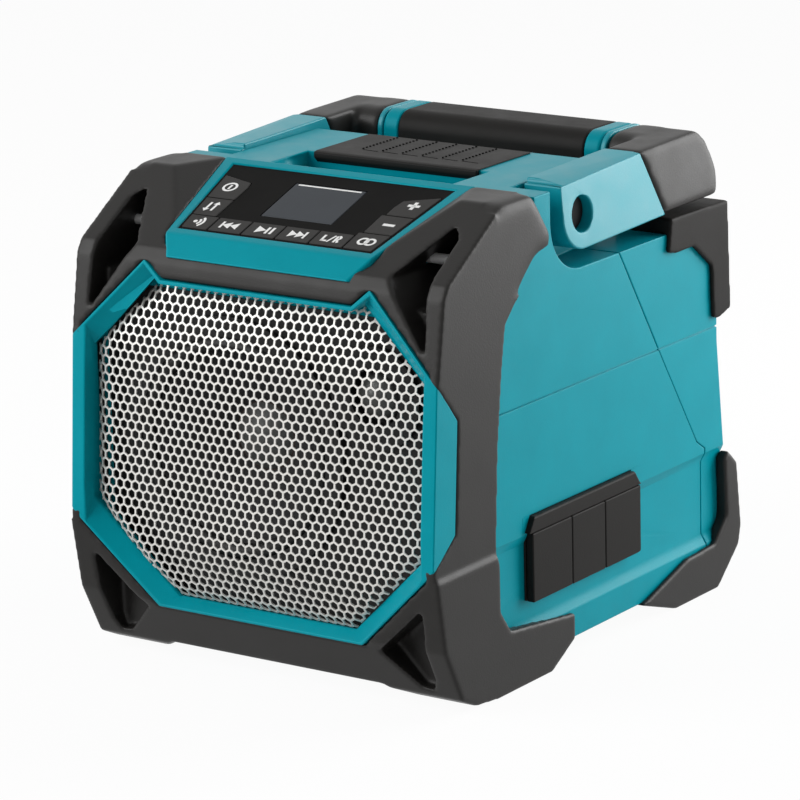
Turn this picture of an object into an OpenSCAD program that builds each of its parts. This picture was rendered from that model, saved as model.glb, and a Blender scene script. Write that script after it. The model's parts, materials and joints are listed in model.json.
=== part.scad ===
// Wireless jobsite speaker: a rugged cabinet with a swing handle, a sloped
// keypad, a perforated front grille and a battery bay behind a rear door.
// Millimetres, +Z up, front towards -Y, ground at z = 0.
// Inside the modules y is measured back from the front plane of the bezel.

/* [Cabinet] */
// Width of the cabinet over its upper side panels
cabinet_w = 164; // [156:1:172]
// Inset of each lower side panel behind the upper one
lower_inset = 2; // [1:0.25:3]
// Height of the step between lower and upper side panels, at its middle
step_z = 55; // [50:1:58]
// Height of the slope of that step
step_h = 4; // [2:0.5:6]
// Reach of the skirt along the bottom beyond the lower side panels
skirt_d = 2.5; // [1:0.25:3]
// Height of the skirt's upper edge
skirt_z = 23.5; // [20:0.5:26]
// Wall thickness of the shells
wall = 2.6; // [2:0.1:3.2]
// Depth of the bumper ring in front of the cabinet
ring_d = 14; // [13:0.5:16]
// Distance from the front plane to the cabinet's back, at its foot
back_y = 204; // [202:1:208]
// Slope of the cabinet's back over its upper half
back_draft = 5; // [3:0.5:6]
// Height of the cabinet's floor above the ground
floor_z = 8; // [6:0.5:10]
// Height of the top deck
deck_z = 184; // [182:0.5:186]
// Distance from the front plane to the rear edge of the deck
deck_y = 136; // [134:1:140]
// Gap that shows as a seam between fitted pieces
seam = 0.3; // [0.2:0.05:0.5]

/* [Bumpers] */
// Thickness of the bumper on the cabinet's sides
side_pad = 2; // [1.5:0.25:3]
// Thickness of the lower bumper blocks on the sides
foot_pad = 3; // [2.5:0.25:4]
// Width of an ear, from the keypad's panel to the side
ear_w = 26.5; // [25:0.5:28]
// Height of the ears at the top corners
ear_z = 186; // [184:0.5:188]
// Height of the bumper's bottom band over the ground, between the feet
sill_gap = 7; // [4:0.5:8]
// Half width of the space between the front feet
foot_x = 55; // [48:1:60]
// Rearmost reach of the lower rear bumpers
rear_y = 213; // [211:1:216]
// Inner end of the rear bumpers, from the middle
rear_pad_x = 58; // [56:1:64]
// Radius of the posts across the upper strap pockets
post_r = 2; // [1.5:0.25:3]

/* [Front] */
// Visible width of the bezel's band
bezel_band = 7.5; // [6:0.5:9]
// Depth of the grille's middle behind the bezel's face
grille_y = 2.8; // [2:0.2:5]
// Least depth of the grille behind the bezel's face
grille_rim = 2; // [1.5:0.25:3]
// Radius of the grille's dome
dome_r = 1000; // [700:50:1500]
// Thickness of the grille's sheet
sheet = 1.2; // [0.8:0.1:1.6]
// Thickness of the baffle board
baffle_t = 6; // [4:0.5:8]
// Outer radius of the woofer's frame
woofer_r = 51; // [48:0.5:51]
// Outer radius of the tweeter's frame
tweeter_r = 19.5; // [17:0.5:19.5]

/* [Keypad] */
// Width of the panel's rim beside the key mask, along its upper edge
mask_rim = 6.3; // [5:0.1:8]
// Narrowing of each half of the key mask towards its lower edge
mask_taper = 6.8; // [6:0.1:8]
// Length of the key mask up the slope
mask_len = 47.6; // [46:0.2:48.6]
// Thickness of the key mask
mask_t = 1.6; // [1.2:0.1:2]
// Travel of a key
key_travel = 0.6; // [0.4:0.1:0.8]
// Gap around each key
key_gap = 0.35; // [0.25:0.05:0.5]
// Half width of the display's window
lcd_x = 16.2; // [14:0.2:18]

/* [Handle] */
// Distance of the handle's pivot from the front plane
pivot_y = 99.7; // [98:0.5:102]
// Height of the handle's pivot
pivot_z = 171.7; // [170.5:0.2:172.5]
// Radius of the space that the arm's end turns in
turn_r = 20.5; // [19.5:0.5:22]
// Width of an arm
arm_w = 18.5; // [17:0.5:19]
// Radius of the pivot screws
pin_r = 4; // [3:0.25:5]
// Running clearance of a pivot
fit = 0.05; // [0.03:0.01:0.08]
// Inward lean of the handle's outer sides, per unit of height
arm_lean = 0.08; // [0.04:0.01:0.12]
// Distance from the front plane to the back of the grip
grip_back = 201; // [196:1:202]
// Thickness of the soft layer over the handle's core
grip_skin = 4; // [3:0.25:5]
// Half length of the soft roll on the grip
roll_x = 51.5; // [48:0.5:52]

/* [Top] */
// Half width of the mat on the deck
mat_x = 38; // [34:0.5:40]
// Thickness of the mat
mat_t = 3; // [2:0.25:4]
// Half width of the slot in front of the mat
slot_x = 42; // [41:0.5:46]
// Distance from the front plane to the back of the slot
slot_back = 98; // [94:0.5:100]

/* [Ports] */
// Height of the line on which the port flaps hinge
flap_z = 57.3; // [56:0.1:58]
// Height of a port flap
flap_h = 27; // [25:0.5:28]
// Thickness of the port cover outside the cabinet
cover_t = 4.4; // [4:0.2:5]
// Height of the socket centres
socket_z = 44; // [42:0.5:46]

/* [Battery bay] */
// Half width of the bay's inside
bay_x = 44; // [42:0.5:46]
// Height of the bay's inside floor
bay_z = 18; // [16.5:0.5:19]
// Height of the bay's inside
bay_h = 86; // [80:1:88]
// Depth of the bay's inside
bay_d = 82; // [76:1:84]
// Thickness of the battery door
door_t = 4; // [3:0.25:4.5]
// Radius of the door's hinge pin
hinge_r = 1.5; // [1.25:0.05:1.75]

/* [Hidden] */
$fn = 48;
big = 400;

teal = [0.0, 0.55, 0.6];
charcoal = [0.23, 0.22, 0.21];
black = [0.12, 0.12, 0.12];
steel = [0.75, 0.76, 0.78];
board_green = [0.1, 0.35, 0.2];
copper = [0.7, 0.45, 0.2];
amber = [0.75, 0.6, 0.25];
slate = [0.3, 0.33, 0.36];
bright_grey = [0.82, 0.81, 0.79];

// Outermost front and rear points, whose middle is the model's origin
front_bulge = 5;
mid_y = (rear_y - front_bulge) / 2;

half_w = cabinet_w / 2;
low_w = half_w - lower_inset;
pad_w = half_w + side_pad;
foot_w = half_w + foot_pad;

// Front face, seen from the front as [x, z]: the bezel's outline, right half
face_low = 59;
face_high = 127;
face_sill = 24;
face_sill_x = pad_w - 36.6;
face_top = 152;
notch_x = pad_w - 32.5;
notch_z = 159;
face_top_x = notch_x - 8.1;
bezel_right = [[face_sill_x, face_sill], [pad_w, face_low], [pad_w, face_high], [notch_x, notch_z],
    [face_top_x, face_top]];
bezel_outline = concat(bezel_right, [for (i = [len(bezel_right) - 1 : -1 : 0])
    [-bezel_right[i].x, bezel_right[i].y]]);

// Front profile, seen from the side as [y, z], shared by bezel and bumper
toe = [20, 1.5];
instep = [10.5, 6];
shin = [0, face_sill + 3];
face_side = [toe, instep, shin, [-front_bulge, face_low], [0, face_high], [5, notch_z - 1]];
ear_foot = [8, 163];
ear_apex = [44, ear_z];
ear_back = [66, ear_z];

// Rear edges of the front bumper on the sides: the ear with the leg below it, and the foot
ear_side = [ear_foot, ear_apex, ear_back, [78, 169], [77, 163], [67, 161.5], [45, 141], [42, 123.5],
    [38.5, 95], [36, step_z - 2], [36, 8]];
foot_side = [[36, step_z], [37.4, step_z - 4], [37.4, 33], [44, 24], [88, 18.8], [88, 8.7], [72, 0], [34, 0]];

// Rear bumpers, seen from the side
rear_top_side = [[160, 144.3], [166, 143.2], [178.6, 143.4], [192.7, 132.6], [193.7, 111.6], [197.5, 110.4],
    [rear_y - 6, 113], [rear_y - 8, 157], [162, 157.6]];
rear_low_side = [[137, 8], [162, 0], [rear_y - 18, 0], [rear_y - 2, 14], [rear_y, 22], [rear_y - 3.2, 48.8],
    [203, step_z], [200, 52], [201.5, 28.5], [192, 19], [171, 18]];
wrap_d = 13;
wrap_side = [[-front_bulge, face_low], [wrap_d - 3, face_low + 11], [wrap_d, face_high - 15], [0, face_high]];

// Sloped control panel, from its sill to the ridge over the keypad
sill = [13, 168];
ridge = [66, 186.1];
panel_tilt = atan2(ridge[1] - sill[1], ridge[0] - sill[0]);
panel_ridge_x = pad_w - ear_w;
panel_sill_x = panel_ridge_x - 10.5;
mask_high = panel_ridge_x - mask_rim;
mask_low = mask_high - mask_taper;
mask_v = 4.2;
mask_drop = 0.5;
window_rim = 0.8;
board_drop = 6.8;
board_t = 1.6;
key_t = 2.4;
key_proud = 0.3;
switch_gap = 0.1;
switch_w = 2.5;
stud_inset = 10;
key_border = 1.2;
row_v = 10.5;
row_x = 12.9 - mask_low;
row_end = mask_low - 13.9;
row_step = (row_end - row_x) / 4;
column_x = mask_high - 17.2;
minus_x = column_x - 1.5;
stud_x = column_x - stud_inset;
lcd_low = 15.5;
lcd_high = 40;
lens_t = 1;

// Tops of the hollow's steps under the deck
slot_front = 69;
well_back = slot_front - 1;
well_side = [[well_back, 181], [18, 163.9], [ring_d, 158.5]];
slot_z = 174;
ledge_z = pivot_z - turn_r;
arm_gap = 1;
deck_x = pad_w - arm_w - arm_gap;
cavity_x = low_w - wall;
cavity_top = ledge_z - 2 * wall;
panel_well_x = panel_ridge_x - 3.5;
panel_lap = 0.4;
ear_floor = 150;
inner_back = back_y - 8;
skirt_slope = 4;

// Groove along the sides
groove = 0.6;
groove_z = 107.3;

// Parting line of the shells on the sides, as [y, z]
parting = [[126, ledge_z + 1], [154, 108], [183, 63], [189, step_z + 4], [189, -1]];

// Drivers, as [x, z] on the baffle
woofer_at = [-18, 88];
tweeter_at = woofer_at + [66, 28];
baffle_back = ring_d + baffle_t;
cone_r = woofer_r - 14;
coil_r = 13;
frame_lip = 2.5;
magnet_y = ring_d + 32;
basket_y = ring_d + 7;
neck_y = ring_d + 19;
spider_y = ring_d + 25;
basket_r = 26;
magnet_r = 30;

// Handle
arm_in = pad_w - arm_w;
arm_front = 13.2;
arm_top = 14.5;
seam_top = [143, pivot_z + arm_top + 1];
seam_foot = [158, 160];
grip_front = seam_foot[0] + 4;
grip_low = 160.5;
grip_top = 188;
grip_round = 8;
grip_corner_r = 7;
collar_x = roll_x + 2.5;
screw_head_r = 6.5;
screw_seat = 8;
screw_head_t = 2.7;
bar_inset = 9;

// Ports on the right side
flap_edges = [60, 87.4, 111, 137];
cover_lip = 2.8;
band_h = 6;
plate_t = 0.8;
port_board_x = low_w - 18;
socket_y = [for (i = [0 : 2]) (flap_edges[i] + flap_edges[i + 1]) / 2];
usb_w = 13.2;
usb_h = 6.4;
usb_wall = 0.6;
jack_r = 4;
jack_bore = 1.75;
inlet_r = 5;
inlet_bore = 2.8;
socket_play = 0.5;

// Battery door
bay_wall = 2;
door_rim = 6;
door_face = back_y - 4;
door_x = bay_x + door_rim;
door_z = [bay_z - 3, bay_z + bay_h + door_rim];
hinge_at = [door_face + 6.3, 13];
knuckle_r = 3.4;
knuckle_x = 30;
lug_w = 6;
main_z = bay_z + bay_h + bay_wall + 4;

// Draws its children with the front plane put in its place about the origin
module seat() { translate([0, -mid_y, 0]) children(); }

// Extrudes a side view [y, z] across the width, from x0 to x1
module across(x0, x1) { translate([x0, 0, 0]) rotate([90, 0, 90]) linear_extrude(x1 - x0) children(); }

// Extrudes a front view [x, z] in depth, from y0 to y1
module deep(y0, y1) { translate([0, y1, 0]) rotate([90, 0, 0]) linear_extrude(y1 - y0) children(); }

// Turns a solid of revolution about z into one about a front-to-back axis at [x, z]
module driver_axis(at) { translate([at[0], 0, at[1]]) rotate([-90, 0, 0]) children(); }

module block(x, y, z) {
    translate([x[0], y[0], z[0]]) cube([x[1] - x[0], y[1] - y[0], z[1] - z[0]]);
}

// Both sides of a piece made for the right side
module both() {
    children();
    mirror([1, 0, 0]) children();
}

// Outline pulled in by d along each edge, for a counter-clockwise polygon
function edge_normal(a, b) = let (e = (b - a) / norm(b - a)) [-e.y, e.x];
function corner(p, q, r, d) =
    let (m = edge_normal(p, q), n = edge_normal(q, r)) q + d * (m + n) / (1 + m * n);
function inset(pts, d) = let (n = len(pts)) [for (i = [0 : n - 1])
    corner(pts[(i + n - 1) % n], pts[i], pts[(i + 1) % n], d)];

// Everything on the positive side of the plane through p with normal n
module beyond(p, n) {
    translate(p) rotate(a = acos(n.z / norm(n)), v = cross([0, 0, 1], n))
        translate([-big / 2, -big / 2, 0]) cube(big);
}

// Rectangle with round corners, centred on at
module round_rect(at, size, r) {
    translate(at - size / 2) {
        translate([r, 0]) square([size.x - 2 * r, size.y]);
        translate([0, r]) square([size.x, size.y - 2 * r]);
        for (x = [r, size.x - r], y = [r, size.y - r]) translate([x, y]) circle(r);
    }
}

// Frame of the keypad: x across, y up the slope, z out of it
module on_panel() {
    translate([0, sill[0], sill[1]]) rotate([panel_tilt, 0, 0]) translate([0, mask_v, -mask_drop]) children();
}

// Half width of the key mask at height v on the slope
function mask_half(v) = mask_low + (mask_high - mask_low) * v / mask_len;

// Cabinet

module cabinet_solid() {
    back = [[back_y - 4, floor_z], [back_y, step_z - 3], [back_y, step_z + 1],
        [back_y - back_draft, (step_z + ledge_z) / 2], [back_y - back_draft, ledge_z]];
    body = concat([[ring_d, floor_z]], back, [[deck_y, ledge_z], [deck_y, deck_z],
        [well_back, deck_z], [well_back, ear_floor], [ring_d, ear_floor]]);
    difference() {
        union() {
            intersection() {
                across(-half_w - skirt_d, half_w + skirt_d) polygon(body);
                deep(-1, big) polygon(cabinet_front);
            }
            panel_well();
        }
        both() arm_recess();
    }
}

// Front view of the cabinet: upper panels, sloped step, lower panels and skirt
cabinet_right = [[low_w + skirt_d, floor_z], [low_w + skirt_d, skirt_z - skirt_slope], [low_w, skirt_z],
    [low_w, step_z - step_h / 2], [half_w, step_z + step_h / 2], [half_w, big]];
cabinet_front = concat(cabinet_right, [for (i = [len(cabinet_right) - 1 : -1 : 0])
    [-cabinet_right[i].x, cabinet_right[i].y]]);

// Raised frame under the control panel
module panel_well() {
    across(-panel_ridge_x - panel_lap, panel_ridge_x + panel_lap)
        polygon(concat([[ring_d, ear_floor - 1], [well_back, ear_floor - 1]], well_side));
}

// Space beside the deck that an arm lies and turns in
module arm_recess() {
    across(deck_x, big) {
        translate([pivot_y, pivot_z]) circle(turn_r, $fn = 96);
        translate([pivot_y, ledge_z]) square(big);
        translate([pivot_y - turn_r, pivot_z]) square(big);
    }
}

module cabinet_hollow() {
    block([-cavity_x, cavity_x], [-1, inner_back], [floor_z + wall, cavity_top]);
    block([wall - deck_x, deck_x - wall], [slot_front + wall, deck_y - wall], [cavity_top - 1, slot_z - wall]);
    block([wall - deck_x, deck_x - wall], [slot_back + wall, deck_y - wall], [cavity_top - 1, deck_z - wall]);
    block([-panel_well_x, panel_well_x], [ring_d + wall, well_back - wall], [cavity_top - 1, big]);
}

module cabinet_shell() {
    difference() {
        union() {
            difference() {
                cabinet_solid();
                cabinet_hollow();
                block([-slot_x, slot_x], [slot_front, slot_back], [slot_z, big]);
                both() block([half_w - groove, big], [30, back_y + 1], [groove_z - groove, groove_z]);
                port_band();
            }
            port_posts();
        }
        pivot_holes();
        socket_holes();
        block([-bay_x, bay_x], [inner_back - 1, big], [bay_z, bay_z + bay_h]);
        block([-door_x - seam, door_x + seam], [door_face, big],
            [door_z[0] - knuckle_r - 2, door_z[1] + seam]);
        screw_holes();
    }
}

// Everything behind the parting line, moved back by gap
module rear_part(gap) {
    across(-big / 2, big / 2) translate([gap, 0]) polygon(concat(parting, [[big, -1], [big, ledge_z + 1]]));
}

module pivot_holes() { both() across(0, deck_x + 1) translate([pivot_y, pivot_z]) circle(pin_r); }

module port_posts() {
    for (y = [flap_edges[0] + 4, flap_edges[3] - 4])
        across(port_board_x + board_t, low_w - 1) translate([y, flap_z - flap_h + 4]) circle(3);
}

module socket_holes() {
    usb_block(cavity_x - 1, big, socket_play);
    across(cavity_x - 1, low_w + 1) {
        translate([socket_y[1], socket_z]) circle(jack_r + socket_play);
        translate([socket_y[2], socket_z]) circle(inlet_r + socket_play);
    }
}

screw_at = [for (x = [-40, -14, 14, 40]) [x, 132]];
screw_y = back_y - back_draft;

module screw_holes() {
    for (at = screw_at) driver_axis(at) {
        translate([0, 0, inner_back - 1]) cylinder(r = 1.6, h = big);
        translate([0, 0, screw_y - 1.4]) cylinder(r = 3.5, h = big);
    }
}

module front_shell() color(teal) seat() difference() {
    cabinet_shell();
    rear_part(0);
}

module rear_shell() color(teal) seat() difference() {
    union() {
        intersection() {
            cabinet_shell();
            rear_part(seam);
        }
        for (side = [-1, 1]) door_lug(side * (knuckle_x + lug_w / 2 + seam));
    }
    across(-big / 2, big / 2) translate(hinge_at) circle(hinge_r);
}

module door_lug(x) {
    across(x - lug_w / 2, x + lug_w / 2) {
        translate(hinge_at) circle(knuckle_r);
        translate([inner_back + 1, hinge_at[1] - knuckle_r])
            square([hinge_at[0] - inner_back - 1, 2 * knuckle_r]);
    }
}

module case_screws() color(steel) seat() for (at = screw_at) driver_axis(at) {
    translate([0, 0, screw_y - 1.4]) cylinder(r = 3.5, h = 1.2);
    translate([0, 0, inner_back - 6]) cylinder(r = 1.6, h = screw_y - inner_back + 5);
}

// Bumpers

// Plane of the facet that falls from an ear to the keypad's rim
facet_foot = [panel_sill_x, sill[0], sill[1] + 0.5];
facet_back = [panel_ridge_x, ridge[0], ear_z + 0.5];
facet_peak = [pad_w - 18.3, ear_apex[0], ear_z];
facet_normal = cross(facet_peak - facet_foot, facet_back - facet_foot);

module front_bumper() color(charcoal) seat() difference() {
    union() {
        across(-pad_w, pad_w) polygon(concat(face_side, ear_side));
        across(-foot_w, foot_w)
            polygon(concat([toe, instep, shin, [0.4 - front_bulge, step_z]], foot_side));
    }
    cabinet_solid();
    bezel_space();
    panel_cut();
    both() intersection() {
        beyond(facet_foot, facet_normal);
        block([-1, big], [sill[0], big], [sill[1] - 20, big]);
    }
    foot_space();
    both() {
        upper_pocket();
        lower_pocket();
        post();
    }
}

// Space between the front feet
module foot_space() {
    deep(-50, 120) polygon([[-foot_x - 6, -1], [foot_x + 6, -1], [foot_x + 6, 0], [foot_x - 6, sill_gap],
        [6 - foot_x, sill_gap], [-foot_x - 6, 0]]);
    block([6 - foot_x, foot_x - 6], [ring_d, 120], [-1, floor_z + 1]);
}

// Strap pockets in the corners
module upper_pocket() {
    pocket_skin = 0.5;
    shape = [[pad_w - 26, 163], [pad_w - 7, 137], [pad_w - 9, 175.5], [pad_w - 13, 178.5]];
    deep(-50, ring_d - pocket_skin) polygon(shape);
    intersection() {
        deep(-50, 46) polygon(shape);
        translate([0, 0, ear_floor + pocket_skin]) cube(big);
    }
}

module lower_pocket() {
    deep(-50, ring_d - 0.5) polygon([[pad_w - 30, 23], [pad_w - 16, 9.5], [pad_w - 11, 9],
        [pad_w - 9, 14], [pad_w - 8, 43]]);
}

// Steel post across an upper strap pocket
post_at = [33, 166];
module post() { across(panel_ridge_x + panel_lap, pad_w - 2) translate(post_at) circle(post_r); }

module strap_posts() color(steel) seat() both() post();

module rear_pad_top() {
    difference() {
        across(rear_pad_x, pad_w) polygon(rear_top_side);
        cabinet_solid();
    }
}

module rear_pad_low() {
    difference() {
        across(rear_pad_x, foot_w) polygon(rear_low_side);
        cabinet_solid();
    }
}

module rear_bumper_top_right() color(charcoal) seat() rear_pad_top();
module rear_bumper_top_left() color(charcoal) seat() mirror([1, 0, 0]) rear_pad_top();
module rear_bumper_low_right() color(charcoal) seat() rear_pad_low();
module rear_bumper_low_left() color(charcoal) seat() mirror([1, 0, 0]) rear_pad_low();

// Front

// Solid inside the bezel's outer surface, drawn in by gap
module bezel_solid(gap) {
    intersection() {
        deep(-20, ring_d) polygon(inset(bezel_outline, gap));
        union() {
            across(-pad_w + wrap_d / 3, pad_w - wrap_d / 3)
                polygon(concat(face_side, [[big, notch_z - 1], [big, 0]]));
            across(-pad_w, pad_w) polygon(inset(wrap_side, gap));
        }
    }
}

// Cut for the bezel, which reaches out past the bumper's front and sides
module bezel_space() {
    reach = 2;
    front = [for (p = face_side) [p.x - reach, p.y]];
    wrap = concat(wrap_side, [[-reach, face_high], [-front_bulge - reach, face_low]]);
    intersection() {
        deep(-20, ring_d) {
            polygon(bezel_outline);
            translate([-pad_w - reach, face_low]) square([2 * (pad_w + reach), face_high - face_low]);
        }
        union() {
            across(-pad_w + wrap_d / 3, pad_w - wrap_d / 3)
                polygon(concat(front, [[big, notch_z - 1], [big, 0]]));
            across(-pad_w - reach, pad_w + reach) polygon(wrap);
        }
    }
    deep(-20, ring_d) polygon(inset(bezel_outline, bezel_band));
}

module bezel() color(teal) seat() difference() {
    bezel_solid(seam);
    deep(-big, big) polygon(inset(bezel_outline, bezel_band));
}

// Space behind the grille's face: a shallow dome that leans with the front, drawn in by d
module grille_space(d) {
    lean = atan(front_bulge / (face_high - face_low));
    middle = [0, grille_y - front_bulge / 2, (face_low + face_high) / 2];
    behind = [for (p = face_side) [p.x + grille_rim + d, p.y]];
    intersection() {
        deep(-20, ring_d + d) polygon(inset(bezel_outline, bezel_band + seam + d));
        translate(middle + dome_r * [0, cos(lean), -sin(lean)]) sphere(dome_r - d, $fn = 96);
        across(-pad_w, pad_w) polygon(concat(behind, [[big, notch_z - 1], [big, toe.y]]));
    }
}

module grille() color(bright_grey) seat() difference() {
    grille_space(0);
    grille_space(sheet);
}

module baffle() color(black) seat() difference() {
    block([-cavity_x, cavity_x], [ring_d, baffle_back], [floor_z + wall, cavity_top]);
    driver_axis(woofer_at) cylinder(r = woofer_r - 6, h = big);
    driver_axis(tweeter_at) cylinder(r = tweeter_r - 4, h = big);
}

module woofer_frame() color(black) seat() driver_axis(woofer_at) rotate_extrude($fn = 96) {
    translate([woofer_r - 8, ring_d - frame_lip]) square([8, frame_lip]);
    polygon([[woofer_r - 8, ring_d - frame_lip], [woofer_r - 6.5, ring_d - frame_lip],
        [woofer_r - 6.5, basket_y], [basket_r + 2, magnet_y - 6], [basket_r + 2, magnet_y],
        [coil_r + 2, magnet_y],
        [coil_r + 2, magnet_y - 1.6], [basket_r, magnet_y - 1.6], [basket_r, magnet_y - 7],
        [woofer_r - 8, basket_y]]);
}

module woofer_magnet() color(steel) seat() driver_axis(woofer_at) difference() {
    translate([0, 0, magnet_y]) cylinder(r = magnet_r, h = 16);
    translate([0, 0, magnet_y - 1]) difference() {
        cylinder(r = coil_r + 1.5, h = 12);
        cylinder(r = coil_r - 1.5, h = 12);
    }
}

module woofer_cone() color(black) seat() driver_axis(woofer_at) rotate_extrude($fn = 96)
    polygon([[cone_r, ring_d - 1], [cone_r, ring_d], [coil_r + 0.5, neck_y + 1], [coil_r + 0.5, neck_y]]);

module voice_coil() color(copper) seat() driver_axis(woofer_at) translate([0, 0, neck_y]) difference() {
    cylinder(r = coil_r + 0.5, h = 19);
    translate([0, 0, -1]) cylinder(r = coil_r - 0.5, h = 21);
}

module dust_cap() color(black) seat() driver_axis(woofer_at) rotate_extrude($fn = 96)
    intersection() {
        translate([0, neck_y + 14]) difference() {
            circle(coil_r + 6.2);
            circle(coil_r + 5.4);
        }
        translate([0, neck_y - coil_r]) square([coil_r + 0.4, coil_r]);
    }

module woofer_surround() color(black) seat() driver_axis(woofer_at) rotate_extrude($fn = 96)
    intersection() {
        translate([(cone_r + woofer_r - 8) / 2, ring_d - 1]) difference() {
            circle((woofer_r - 8 - cone_r) / 2);
            circle((woofer_r - 8 - cone_r) / 2 - 0.8);
        }
        square([big, ring_d - 1]);
    }

module woofer_spider() color(amber) seat() driver_axis(woofer_at) translate([0, 0, spider_y]) difference() {
    cylinder(r = basket_r, h = 0.8);
    translate([0, 0, -1]) cylinder(r = coil_r + 0.5, h = 3);
}

module tweeter_frame() color(black) seat() driver_axis(tweeter_at) difference() {
    union() {
        translate([0, 0, ring_d - frame_lip]) cylinder(r = tweeter_r, h = frame_lip);
        translate([0, 0, ring_d]) cylinder(r = tweeter_r - 4, h = 14);
    }
    translate([0, 0, -1]) cylinder(r = 11, h = ring_d + 5);
}

module tweeter_dome() color(steel) seat() driver_axis(tweeter_at) translate([0, 0, ring_d + 4]) difference() {
    translate([0, 0, 2]) sphere(10.5);
    translate([-big / 2, -big / 2, 0]) cube(big);
}

// Control panel

module panel_space() {
    intersection() {
        across(-big / 2, big / 2)
            polygon(concat([[6, well_side[2][1]], sill, ridge, [well_back, 184.5]], well_side));
        translate([0, 0, 100]) linear_extrude(big)
            polygon([[7 - panel_sill_x, 6], [panel_sill_x - 7, 6], [panel_sill_x, sill[0]],
                [panel_ridge_x, ridge[0]], [panel_ridge_x, well_back], [-panel_ridge_x, well_back],
                [-panel_ridge_x, ridge[0]], [-panel_sill_x, sill[0]]]);
    }
}

// Cut for the panel, which reaches down into the frame under it
module panel_cut() {
    panel_space();
    intersection() {
        translate([0, 0, -1]) panel_space();
        block([-big / 2, big / 2], [ring_d + 0.25, big], [100, big]);
    }
}

// Outline of the key mask, drawn in by d
module mask_shape(d) {
    polygon([[-mask_half(0) + d, d], [mask_half(0) - d, d], [mask_half(mask_len) - d, mask_len - d],
        [-mask_half(mask_len) + d, mask_len - d]]);
}

module control_panel() color(teal) seat() difference() {
    panel_space();
    on_panel() {
        translate([0, 0, -mask_t]) linear_extrude(big) mask_shape(0);
        translate([0, 0, -20]) linear_extrude(big) mask_shape(window_rim);
    }
}

// Keys of the lower row, counted from the pairing key on the left
function row_edge(i) = row_x + (i - 1) * row_step;

// Key outlines on the keypad: left and right columns follow the mask's edges
module column_key(v0, v1, side, inner, drop = 0) {
    outer0 = mask_half(v0) - key_border;
    outer1 = mask_half(v1) - key_border;
    cut_corner = [[inner + drop / 4, v1 - drop], [inner, v1 - 2 * drop]];
    top = drop > 0 ? cut_corner : [[inner, v1]];
    scale([side, 1]) polygon(concat([[inner, v0], [outer0, v0], [outer1, v1]], top));
}

module key_shape(name) {
    g = key_gap;
    top = row_v - g;
    if (name == "pair") column_key(key_border, top, -1, -row_edge(1) + g);
    if (name == "tone") column_key(row_v + g, 23 - g, -1, column_x);
    if (name == "power") column_key(23 + g, 39.3, -1, column_x, 3.4);
    for (i = [1 : 4]) if (name == ["back", "play", "next", "side"][i - 1])
        translate([row_edge(i) + g, key_border]) square([row_step - 2 * g, top - key_border]);
    if (name == "link") column_key(key_border, 12.6 - g, 1, row_edge(5) + g);
    if (name == "minus") column_key(12.6 + g, 25.8 - g, 1, minus_x);
    if (name == "plus") column_key(25.8 + g, 41.3, 1, column_x, 5);
}

KEYS = ["power", "tone", "pair", "back", "play", "next", "side", "link", "minus", "plus"];

// Middle of each key, where its switch stands
function key_middle(i) = concat(
    [[-column_x - 7, 29], [-column_x - 5.5, 16.8], [-column_x - 4.5, 5.5]],
    [for (k = [1 : 4]) [row_edge(k + 0.5), 5.5]],
    [[column_x + 3.5, 6.5], [column_x + 5.5, 19], [column_x + 7, 32]])[i];

module key(name) color(charcoal) seat() on_panel()
    translate([0, 0, key_proud - key_t]) linear_extrude(key_t) key_shape(name);

module key_mask() color(black) seat() on_panel() difference() {
    union() {
        translate([0, 0, -mask_t]) linear_extrude(mask_t) mask_shape(seam / 2);
        for (x = [-stud_x, stud_x], v = [19, 43])
            translate([x, v, -board_drop + board_t]) cylinder(r = 2, h = board_drop - board_t - mask_t + 0.5);
    }
    for (name = KEYS) translate([0, 0, -mask_t - 1]) linear_extrude(big) key_opening(name);
    block([-lcd_x - seam, lcd_x + seam], [lcd_low - seam, lcd_high + seam], [-lens_t, big]);
    block([3 - lcd_x, lcd_x - 3], [lcd_low + 3, lcd_high - 3], [-big, big]);
}

// Opening in the mask around a key
module key_opening(name) {
    for (dx = [-1, 1], dv = [-1, 1]) translate([dx * key_gap * 0.7, dv * key_gap * 0.7]) key_shape(name);
}

module lcd_window() color(slate) seat() on_panel()
    block([-lcd_x, lcd_x], [lcd_low, lcd_high], [-lens_t, 0]);

module lcd_module() color(slate) seat() on_panel()
    block([-lcd_x, lcd_x], [lcd_low + 1, lcd_high - 1], [board_t - board_drop, -mask_t]);

module control_board() color(board_green) seat() on_panel() {
    translate([0, 0, -board_drop]) linear_extrude(board_t) mask_shape(0.5);
    switch_top = key_proud - key_t - key_travel - switch_gap;
    for (i = [0 : len(KEYS) - 1]) translate(key_middle(i))
        block([-switch_w, switch_w], [-switch_w, switch_w], [board_t - board_drop, switch_top]);
}

// Top and handle

module top_mat() color(charcoal) seat() {
    lip = 2;
    across(-mat_x, mat_x) polygon([[slot_back, deck_z], [deck_y - 2, deck_z], [deck_y - 2, deck_z + mat_t],
        [slot_back, deck_z + mat_t], [slot_back - lip, deck_z + mat_t - lip], [slot_back - lip, deck_z - lip],
        [slot_back, deck_z - 2 * lip]]);
}

module arm_shape() {
    translate([pivot_y, pivot_z]) {
        circle(arm_front);
        translate([-arm_front, 0]) square([arm_front, arm_top - 2]);
        translate([2 - arm_front, 0]) square([arm_front, arm_top]);
    }
    polygon([[pivot_y, pivot_z - arm_front], seam_foot, seam_top, [pivot_y, pivot_z + arm_top]]);
}

module corner_shape(gap) {
    polygon([[seam_top[0] + gap, seam_top[1]], [seam_foot[0] + gap, seam_foot[1]], [grip_back, grip_low],
        [grip_back, grip_low + 6], [grip_back - 8.5, grip_top - 5], [grip_back - 15, grip_top]]);
}

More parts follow.
